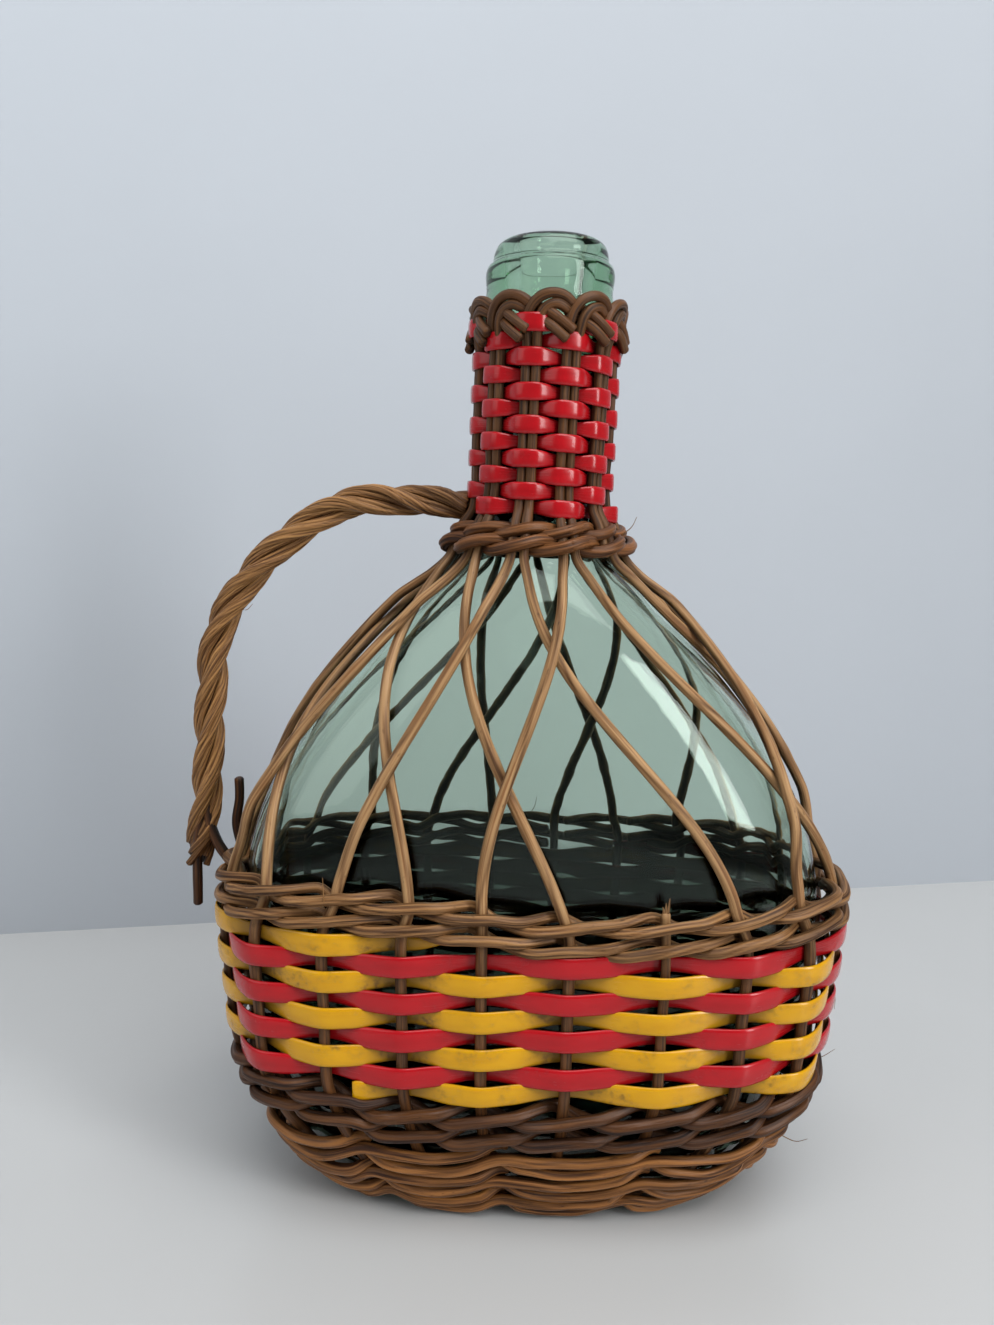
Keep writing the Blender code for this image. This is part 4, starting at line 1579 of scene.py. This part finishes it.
@dataclass
class Collar:
    """Two rods twined round the neck pairs like a rope."""

    name: str
    node: str
    z: float
    stand: float
    reach: float
    swing: float
    radius: float
    seed: int
    ageing: float = 0.22
    first_share: float = 1.1 / STAKES
    overlap: float = 0.35
    cut: Cut = Cut(sides=24, flutes=6, groove=0.28, nestled=0.5)

    def strand(self, order: int, chance: Chance) -> Strand:
        """One of the two rods, in front of one pair while the other is behind."""
        along = np.arange(0.0, PAIRS + self.overlap, 0.1)
        phase = math.pi * (along + order)
        radius = self.stand + self.reach * np.cos(phase)
        z = self.z + self.swing * np.sin(phase) + chance.wander(len(along), 0.3 * MM, 5)
        points = on_neck(self.first_share + along / PAIRS, radius, z)
        return make_rod(points, self.radius, chance, self.ageing, self.cut)

    def build(self) -> None:
        """Makes the two rods."""
        chance = Chance(self.seed)
        for order in range(2):
            mesh = mesh_of(f"{self.name}_{order + 1}", [self.strand(order, chance)])
            add_piece(mesh, COLLAR_WILLOW, f"{self.node}_{order + 1}")


# Foot


@dataclass
class Foot:
    """The plaited foot: every rod runs two scallops, low in the first and high in the second.

    Attributes:
        sags: How far a scallop hangs at each level, as levels and millimetres.
    """

    rods_a_scallop: int = 3
    radius: float = 1.72 * MM
    front_depth: float = 1.7 * MM
    behind_depth: float = 5.2 * MM
    crossing_depth: float = 1.2 * MM
    low_z: float = 4.0 * MM
    layer: float = 4.1 * MM
    layer_growth: float = 0.12 * MM
    sags: tuple[Triple, Triple] = ((0.0, 2.0, 5.0), (2.2, 3.0, 2.6))
    floor_gap: float = 0.1 * MM
    first_node: float = -3.85
    points_a_rod: int = 85
    cut: Cut = Cut(sides=16, flutes=4, groove=0.1, nestled=0.5)
    rng: Chance = field(default_factory=lambda: Chance(57))

    def rod(self, bundle: int, member: int) -> Strand:
        """One rod of a bundle."""
        along = np.linspace(-0.1, 2.08, self.points_a_rod)
        level = 2 * member + ramp(along, 0.6, 0.8)
        level = level + self.rng.pick(-0.12, 0.12)
        z = self.low_z + level * self.layer + self.layer_growth * level**2
        z = z - np.interp(level, *self.sags) * MM * np.sin(math.pi * along) ** 2
        z = z + self.rng.wander(len(along), 0.55 * MM, 1.7)
        tucked = np.maximum(1 - ramp(along, -0.08, 0.26), ramp(along, 1.84, 0.22))
        depth = self.front_depth + (self.behind_depth - self.front_depth) * tucked
        depth = depth + self.crossing_depth * np.cos(math.pi * along) ** 8
        depth = depth + self.rng.wander(len(along), 0.4 * MM, 2.1)
        size = self.radius * self.rng.pick(0.88, 1.08)
        z = np.maximum(z, size + self.floor_gap)
        stakes = self.first_node + 2 * (bundle + along)
        points = BASKET.at(stake_share(stakes), z, -depth)
        return make_rod(points, size, self.rng, self.rng.pick(0.0, 0.4), self.cut)

    def build(self) -> None:
        """Makes the eleven bundles."""
        for bundle in range(PAIRS):
            rods = [self.rod(bundle, member) for member in range(self.rods_a_scallop)]
            add_piece(mesh_of(f"foot_bundle_{bundle + 1:02d}", rods), FOOT_WILLOW, "foot_border")


@dataclass
class Mat:
    """The woven floor: spokes, and rounds woven over and under them."""

    half_width: float = 57.0 * MM
    half_depth: float = 31.0 * MM
    middle_z: float = 2.75 * MM
    weave: float = 1.05 * MM
    rounds: int = 10
    points_a_round: int = 220
    round_radius: float = 1.3 * MM
    round_sides: int = 8
    spoke_radius: float = 1.15 * MM
    spoke_rise: float = 0.4 * MM
    square: float = 2.6
    round_ageing: float = 0.5
    spoke_ageing: float = 0.6
    spoke_cut: Cut = Cut(spacing=3 * MM, sides=8)
    rng: Chance = field(default_factory=lambda: Chance(63))

    def outline(self, turn: Array, part: float, z: Array | float) -> Array:
        """A round of the mat at a share of its size; the middle keeps a spine's length."""
        wide = self.half_width - (1 - part) * self.half_depth
        deep = self.half_depth * part
        x = wide * signed_power(np.sin(turn), 2 / self.square)
        y = -deep * signed_power(np.cos(turn), 2 / self.square)
        return np.stack([x, y, np.broadcast_to(z, turn.shape)], axis=-1)

    def woven_round(self, order: int) -> Strand:
        """One round, counted from the middle."""
        turn = np.arange(0, self.points_a_round) * TAU / self.points_a_round
        part = 0.1 + 0.88 * order / (self.rounds - 1)
        z = self.middle_z + self.weave * np.cos(PAIRS * turn + math.pi * order)
        route = self.outline(turn, part, z)
        outward = unit(route * np.array([1.0, 1.0, 0.0]))
        section = round_section(np.full(len(turn), self.round_radius), self.round_sides)
        return Strand(route, outward, section, np.full(len(turn), self.round_ageing), self.rng.drift())

    def spoke(self, order: int) -> Strand:
        """One spoke, from the middle out under the foot."""
        turn = np.array([(order + 0.5) * TAU / STAKES])
        inner = self.outline(turn, 0.02, self.middle_z)[0]
        outer = self.outline(turn, 1.06, self.middle_z + self.spoke_rise)[0]
        points = np.linspace(inner, outer, 5)
        up = np.tile([0.0, 0.0, 1.0], (len(through(points, self.spoke_cut.spacing)), 1))
        return make_rod(points, self.spoke_radius, self.rng, self.spoke_ageing, self.spoke_cut, up)

    def build(self) -> None:
        """Makes the rounds, then the spokes that they are woven on."""
        rounds = [self.woven_round(order) for order in range(self.rounds)]
        add_piece(mesh_of("mat_rounds", rounds, closed_round=True), FOOT_WILLOW, "base_mat")
        spokes = [self.spoke(order) for order in range(STAKES)]
        add_piece(mesh_of("mat_spokes", spokes), DARK_WILLOW)


# Handle


@dataclass
class Rope:
    """The handle: three strands of split reeds laid round each other, bound in at both ends.

    Attributes:
        places: Where each reed of a strand lies round the strand's middle, in radians.
        strand_reach: How far a strand's middle stands from the rope's.
        bundle: How far a reed's middle stands from its strand's.
        lay: The length over which a strand goes once round.
        path: The rope's middle line, in millimetres.
        tails: The rod ends that run on from its lower end, in millimetres.
    """

    strands: int = 3
    places: tuple[float, ...] = (-1.85, -0.62, 0.62, 1.85)
    strand_reach: float = 2.75 * MM
    bundle: float = 1.36 * MM
    reed_radius: float = 1.22 * MM
    lay: float = 58.0 * MM
    core_radius: float = 2.0 * MM
    tail_radius: float = 1.65 * MM
    sides: int = 15
    flutes: int = 5
    groove: float = 0.2
    core_cut: Cut = Cut(spacing=3 * MM, sides=8)
    tail_cut: Cut = Cut(sides=14, flutes=3, groove=0.12)
    path: tuple[Triple, ...] = (
        (-22.5, -1.5, 219.8),
        (-29.0, -1.0, 220.7),
        (-36.2, 0.0, 220.9),
        (-52.2, 0.0, 221.0),
        (-62.5, 0.0, 219.2),
        (-71.6, 0.0, 214.2),
        (-81.6, 0.0, 207.0),
        (-90.2, 0.0, 198.5),
        (-96.5, 0.0, 190.6),
        (-101.9, 0.0, 181.0),
        (-104.7, 0.0, 172.1),
        (-105.9, 0.0, 160.4),
        (-106.8, 0.0, 150.0),
        (-107.2, 0.0, 139.0),
        (-107.9, 0.0, 128.0),
        (-108.9, 0.0, 117.0),
        (-110.6, 0.0, 107.0),
        (-112.4, 0.0, 99.5),
    )
    tails: tuple[tuple[Triple, ...], ...] = (
        ((-109.5, -1.0, 118.0), (-110.9, -2.2, 108.0), (-111.2, -2.4, 96.0), (-111.3, -2.4, 85.6)),
        ((-108.6, -0.5, 122.0), (-106.4, -2.4, 112.0), (-102.6, -3.0, 104.5), (-97.0, -3.0, 97.5)),
        ((-108.8, 1.5, 118.0), (-106.2, 1.0, 108.0), (-101.8, 0.5, 100.5), (-95.5, 0.0, 93.5)),
        ((-98.2, 3.0, 127.5), (-98.4, 4.0, 121.0), (-99.6, 4.0, 112.0), (-97.0, 3.5, 101.0)),
    )
    rng: Chance = field(default_factory=lambda: Chance(71))

    def reed(self, middle: Array, out: Array, side: Array, strand: int, order: int) -> Strand:
        """One reed, wound round the rope's middle line with the others of its strand.

        Args:
            middle: The rope's middle line.
            out: A direction square to it, at each point.
            side: The direction square to both.
            strand: Which strand it belongs to.
            order: Which reed of the strand it is.

        Returns:
            The reed.
        """
        count = len(middle)
        run = run_along(middle)
        turn = TAU * run / self.lay + TAU / self.strands * strand
        place = self.places[order] + self.rng.wander(count, 0.22, 4)
        gather = 0.92 + 0.08 * ease(run / (14 * MM))
        reach = self.strand_reach * gather + self.bundle * np.cos(place)
        across = self.bundle * np.sin(place)
        lean = np.cos(turn)[:, None] * out + np.sin(turn)[:, None] * side
        beside = np.cos(turn)[:, None] * side - np.sin(turn)[:, None] * out
        route = middle + lean * reach[:, None] + beside * across[:, None]
        facing = unit(lean * np.cos(place)[:, None] + beside * np.sin(place)[:, None])
        size = self.reed_radius * (1 + self.rng.wander(count, 0.07, 7))
        low = 1 - ramp(route[:, 2], 98 * MM, 22 * MM)
        worn = np.clip(0.06 + 0.6 * low + 0.5 * (1 - ease(run / (30 * MM))), 0, 1)
        creases = grooves(self.rng.wander(count, 1.2, 4), self.sides, self.flutes)
        section = round_section(size, self.sides, creases, self.groove)
        last = count - int(self.rng.draw.integers(0, 5))
        parts = (route[:last], facing[:last], section[:last], worn[:last])
        return Strand(*parts, self.rng.drift(), creases[:last], nestled=0.5)

    def build(self) -> None:
        """Makes the three strands, and the rod ends that run on from them."""
        middle = through(np.array(self.path) * MM, 1.5 * MM)
        forward = unit(np.gradient(middle, axis=0))
        out = square_to(forward, np.tile([0.0, -1.0, 0.0], (len(middle), 1)))
        side = np.cross(forward, out)
        for strand in range(self.strands):
            reeds = [self.reed(middle, out, side, strand, order) for order in range(len(self.places))]
            add_piece(mesh_of(f"handle_strand_{strand + 1}", reeds), HANDLE_WILLOW, "handle")
        core = make_rod(middle[4:-4:4], self.core_radius, self.rng, 0.95, self.core_cut)
        add_piece(mesh_of("handle_core", [core]), DARK_WILLOW)
        tails = [np.array(points) * MM for points in self.tails]
        ends = [make_rod(points, self.tail_radius, self.rng, 0.3, self.tail_cut) for points in tails]
        add_piece(mesh_of("handle_tails", ends), DARK_WILLOW)


@dataclass
class LooseEnds:
    """Splinters and fibres that stand off the cover, each from its root to its tip."""

    hairs: tuple[tuple[Triple, ...], ...] = (
        ((-59.3, -50.8, 106.0), (-59.3, -52.0, 110.5), (-59.4, -52.2, 113.8)),
        ((95.3, -9.5, 65.9), (101.0, -10.3, 63.6), (101.2, -11.0, 58.4)),
        ((92.7, -10.5, 40.2), (98.2, -10.4, 41.2), (102.4, -10.6, 44.2)),
        ((25.5, -13.0, 211.5), (28.6, -14.0, 214.2), (29.8, -14.5, 217.0)),
        ((-97.0, -2.0, 185.8), (-93.5, -2.2, 185.0), (-91.4, -2.4, 187.0)),
        ((79.9, -30.0, 25.8), (84.6, -33.0, 25.4), (87.4, -35.0, 27.6)),
        ((0.8, 53.3, 103.0), (2.6, 55.6, 106.4), (3.4, 56.4, 109.6)),
    )
    radius: float = 0.13 * MM
    cut: Cut = Cut(spacing=0.8 * MM, sides=6)
    rng: Chance = field(default_factory=lambda: Chance(91))

    def build(self) -> None:
        """Makes the fibres as one piece."""
        taper = (self.radius * 1.5, self.radius, self.radius * 0.5)
        made = [make_rod(np.array(hair) * MM, taper, self.rng, 0.1, self.cut) for hair in self.hairs]
        add_piece(mesh_of("loose_fibres", made), HANDLE_WILLOW)


# Stage


@dataclass(frozen=True)
class Lamp:
    """One rectangular lamp that faces the flask."""

    name: str
    place: Triple
    size: tuple[float, float]
    power: float

    def hang(self) -> None:
        """Puts it into the scene."""
        data = bpy.data.lights.new(self.name, "AREA")
        data.shape = "RECTANGLE"
        data.size, data.size_y = self.size
        data.energy = self.power
        lamp = bpy.data.objects.new(self.name, data)
        bpy.context.scene.collection.objects.link(lamp)
        lamp.location = self.place
        aim = Vector((0.0, 0.0, 0.15)) - Vector(self.place)
        lamp.rotation_euler = aim.to_track_quat("-Z", "Y").to_euler()


@dataclass
class Studio:
    """Pale floor and wall, three soft lamps and the camera at the photograph's angle.

    Attributes:
        wall_left: Where the wall meets the floor at the left, in plan.
        wall_right: The same at the right.
        room_depth: How far the floor and the wall reach.
        eye: Where the camera stands.
        heading: How far it is turned to the right, in radians.
        pitch: How far it looks down.
        roll: How far it is rolled.
    """

    floor_colour: Colour = (0.53, 0.54, 0.54)
    wall_colour: Colour = (0.60, 0.65, 0.71)
    wall_shade: Colour = (0.10, 0.10, 0.105)
    wall_left: tuple[float, float] = (-0.250, 0.166)
    wall_right: tuple[float, float] = (0.293, 0.282)
    room_depth: float = 3.0
    lamps: tuple[Lamp, ...] = (
        Lamp("window", (0.95, -0.75, 0.62), (0.30, 0.72), 8.0),
        Lamp("overhead", (0.30, -0.65, 1.55), (1.3, 1.1), 21.0),
        Lamp("fill", (-1.2, -0.7, 0.9), (1.2, 1.2), 6.0),
    )
    sky_colour: Colour = (0.94, 0.95, 0.97)
    sky_strength: float = 0.17
    eye: Triple = (-0.0065, -0.3221, 0.2135)
    heading: float = -0.0176
    pitch: float = 0.1363
    roll: float = 0.020
    focal_px: float = 996.0
    image_px: tuple[int, int] = (994, 1325)
    sensor: float = 36.0

    @staticmethod
    def mottled(nodes: Nodes, place: Fed, colour: Colour) -> Fed:
        """A paint's colour, with faint clouds."""
        cloud = nodes.span(nodes.noise(place, (3.0, 3.0, 3.0), 3.0), 0.35, 0.65, 0.0, 1.0)
        shade = tuple(0.95 * part for part in colour)
        return nodes.mix(cloud, (*shade, 1.0), (*colour, 1.0))

    def floor_paint(self) -> bpy.types.Material:
        """The floor's smooth paint."""
        made = bpy.data.materials.new("floor_paint")
        made.use_nodes = True
        nodes = Nodes(made.node_tree)
        tint = self.mottled(nodes, nodes.place(), self.floor_colour)
        nodes.feed(nodes.shader, {"Base Color": tint, "Roughness": 0.32})
        return made

    def wall_paint(self) -> bpy.types.Material:
        """The wall's dull paint, with painted shade low on the left and towards the right; its back hides
        nothing.
        """
        made = bpy.data.materials.new("wall_paint")
        made.use_nodes = True
        nodes = Nodes(made.node_tree)
        place = nodes.place()
        across, _, height = nodes.add("SeparateXYZ", {0: place}).outputs
        # Painted shade: darker low on the left, and darker towards the right.
        low = nodes.span(height, 0.0, 0.42, 1.0, 0.0)
        low_left_shade = nodes.times(nodes.times(low, low), nodes.span(across, -0.3, 0.35, 0.2, 0.0))
        dark = nodes.plus(low_left_shade, nodes.span(across, -0.25, 0.35, 0.06, 0.34))
        tint = nodes.mix(dark, self.mottled(nodes, place, self.wall_colour), (*self.wall_shade, 1.0))
        nodes.feed(nodes.shader, {"Base Color": tint, "Roughness": 0.7})
        clear = nodes.add("BsdfTransparent").outputs[0]
        behind = nodes.add("NewGeometry").outputs["Backfacing"]
        both = nodes.add("MixShader", {0: behind, 1: nodes.shader.outputs[0], 2: clear})
        nodes.feed(nodes.output, {"Surface": both.outputs[0]})
        return made

    def room(self) -> None:
        """The floor, and the wall that stands across it."""
        bpy.ops.object.select_all(action="DESELECT")
        bpy.ops.mesh.primitive_plane_add(size=2 * self.room_depth, location=(0.0, 0.0, 0.0))
        floor = bpy.context.active_object
        floor.name = "floor"
        floor.data.materials.append(self.floor_paint())
        left, right = Vector((*self.wall_left, 0.0)), Vector((*self.wall_right, 0.0))
        run = (right - left).normalized() * self.room_depth
        middle = (left + right) / 2
        rise = Vector((0.0, 0.0, self.room_depth))
        corners = [middle - run, middle + run, middle + run + rise, middle - run + rise]
        mesh = bpy.data.meshes.new("wall")
        mesh.from_pydata(corners, [], [(0, 1, 2, 3)])
        wall = bpy.data.objects.new("wall", mesh)
        bpy.context.scene.collection.objects.link(wall)
        mesh.materials.append(self.wall_paint())

    def light(self) -> None:
        """A window on the right, a soft lamp overhead, a weak fill on the left and an even sky."""
        for lamp in self.lamps:
            lamp.hang()
        world = bpy.data.worlds.new("room_light")
        bpy.context.scene.world = world
        world.use_nodes = True
        sky = {"Color": (*self.sky_colour, 1.0), "Strength": self.sky_strength}
        Nodes(world.node_tree).feed(world.node_tree.nodes["Background"], sky)

    def camera(self) -> None:
        """The camera, levelled and rolled as the photograph was taken."""
        data = bpy.data.cameras.new("camera")
        data.sensor_width = self.sensor
        data.lens = self.focal_px * self.sensor / max(self.image_px)
        data.clip_start = 10 * MM
        camera = bpy.data.objects.new("camera", data)
        bpy.context.scene.collection.objects.link(camera)
        level = Vector((math.sin(self.heading), math.cos(self.heading), 0.0))
        ahead = level * math.cos(self.pitch) - Vector((0, 0, math.sin(self.pitch)))
        right = level.cross(Vector((0, 0, 1)))
        over = right.cross(ahead)
        across = right * math.cos(self.roll) + over * math.sin(self.roll)
        above = over * math.cos(self.roll) - right * math.sin(self.roll)
        turned = Matrix((across, above, -ahead)).transposed()
        camera.matrix_world = Matrix.Translation(Vector(self.eye)) @ turned.to_4x4()
        bpy.context.scene.camera = camera

    def build(self) -> None:
        """Sets the whole stage."""
        self.room()
        self.light()
        self.camera()
        bpy.context.scene.view_settings.view_transform = "Standard"


# A stake, and the heights of a band's upper and lower round there, in millimetres.
UPPER_ROWS = (
    (-11.0, 102.0, 95.5),
    (-8.0, 101.5, 95.0),
    (-6.0, 103.0, 96.5),
    (-5.0, 103.8, 97.4),
    (-4.0, 104.6, 98.4),
    (-3.0, 106.4, 99.4),
    (-2.0, 106.4, 99.8),
    (-1.0, 105.3, 98.9),
    (0.0, 102.9, 96.4),
    (1.0, 100.7, 94.2),
    (2.0, 101.4, 94.6),
    (3.0, 102.9, 96.1),
    (4.0, 105.2, 98.0),
    (5.0, 105.4, 98.6),
    (7.0, 103.5, 97.0),
    (11.0, 102.0, 95.5),
)
LOWER_ROWS = (
    (-11.0, 42.5, 35.2),
    (-8.0, 43.0, 35.8),
    (-5.0, 45.6, 38.4),
    (-4.0, 46.4, 39.0),
    (-3.0, 46.4, 39.2),
    (-2.0, 44.9, 38.0),
    (-1.0, 41.4, 34.2),
    (0.0, 40.7, 33.2),
    (1.0, 41.0, 33.4),
    (2.0, 41.8, 34.2),
    (3.0, 43.0, 35.5),
    (4.0, 44.8, 37.3),
    (5.0, 45.8, 38.6),
    (7.0, 44.0, 36.8),
    (11.0, 42.5, 35.2),
)
LOWER_BAND = Twining(
    name="lower_band",
    node="lower_wale_rod",
    finish=DARK_WILLOW,
    rows=LOWER_ROWS,
    radius=1.85 * MM,
    front_depth=1.2 * MM,
    behind_depth=7.4 * MM,
    swing=1.9 * MM,
    ageing=0.15,
    seed=43,
)
UPPER_BAND = Twining(
    name="upper_band",
    node="upper_wale_rod",
    finish=WALE_WILLOW,
    rows=UPPER_ROWS,
    radius=1.68 * MM,
    front_depth=1.3 * MM,
    behind_depth=7.2 * MM,
    swing=1.7 * MM,
    ageing=0.1,
    seed=41,
)
LOWER_COLLAR = Collar(
    name="lower_collar",
    node="lower_collar_strand",
    z=208.0 * MM,
    stand=26.8 * MM,
    reach=3.1 * MM,
    swing=1.6 * MM,
    radius=1.9 * MM,
    seed=81,
)
UPPER_COLLAR = Collar(
    name="upper_collar",
    node="upper_collar_strand",
    z=212.2 * MM,
    stand=23.9 * MM,
    reach=2.7 * MM,
    swing=1.3 * MM,
    radius=1.8 * MM,
    seed=82,
)


def main() -> None:
    """Builds the stage, then the demijohn from the floor up."""
    logging.basicConfig(level=logging.INFO, format="%(message)s")
    Studio().build()
    Flask().dress()
    Mat().build()
    Foot().build()
    LOWER_BAND.build()
    Stakes().build()
    BodyStrips().build()
    UPPER_BAND.build()
    LOWER_COLLAR.build()
    UPPER_COLLAR.build()
    NeckStrip().build()
    Rope().build()
    LooseEnds().build()


if __name__ == "__main__":
    main()
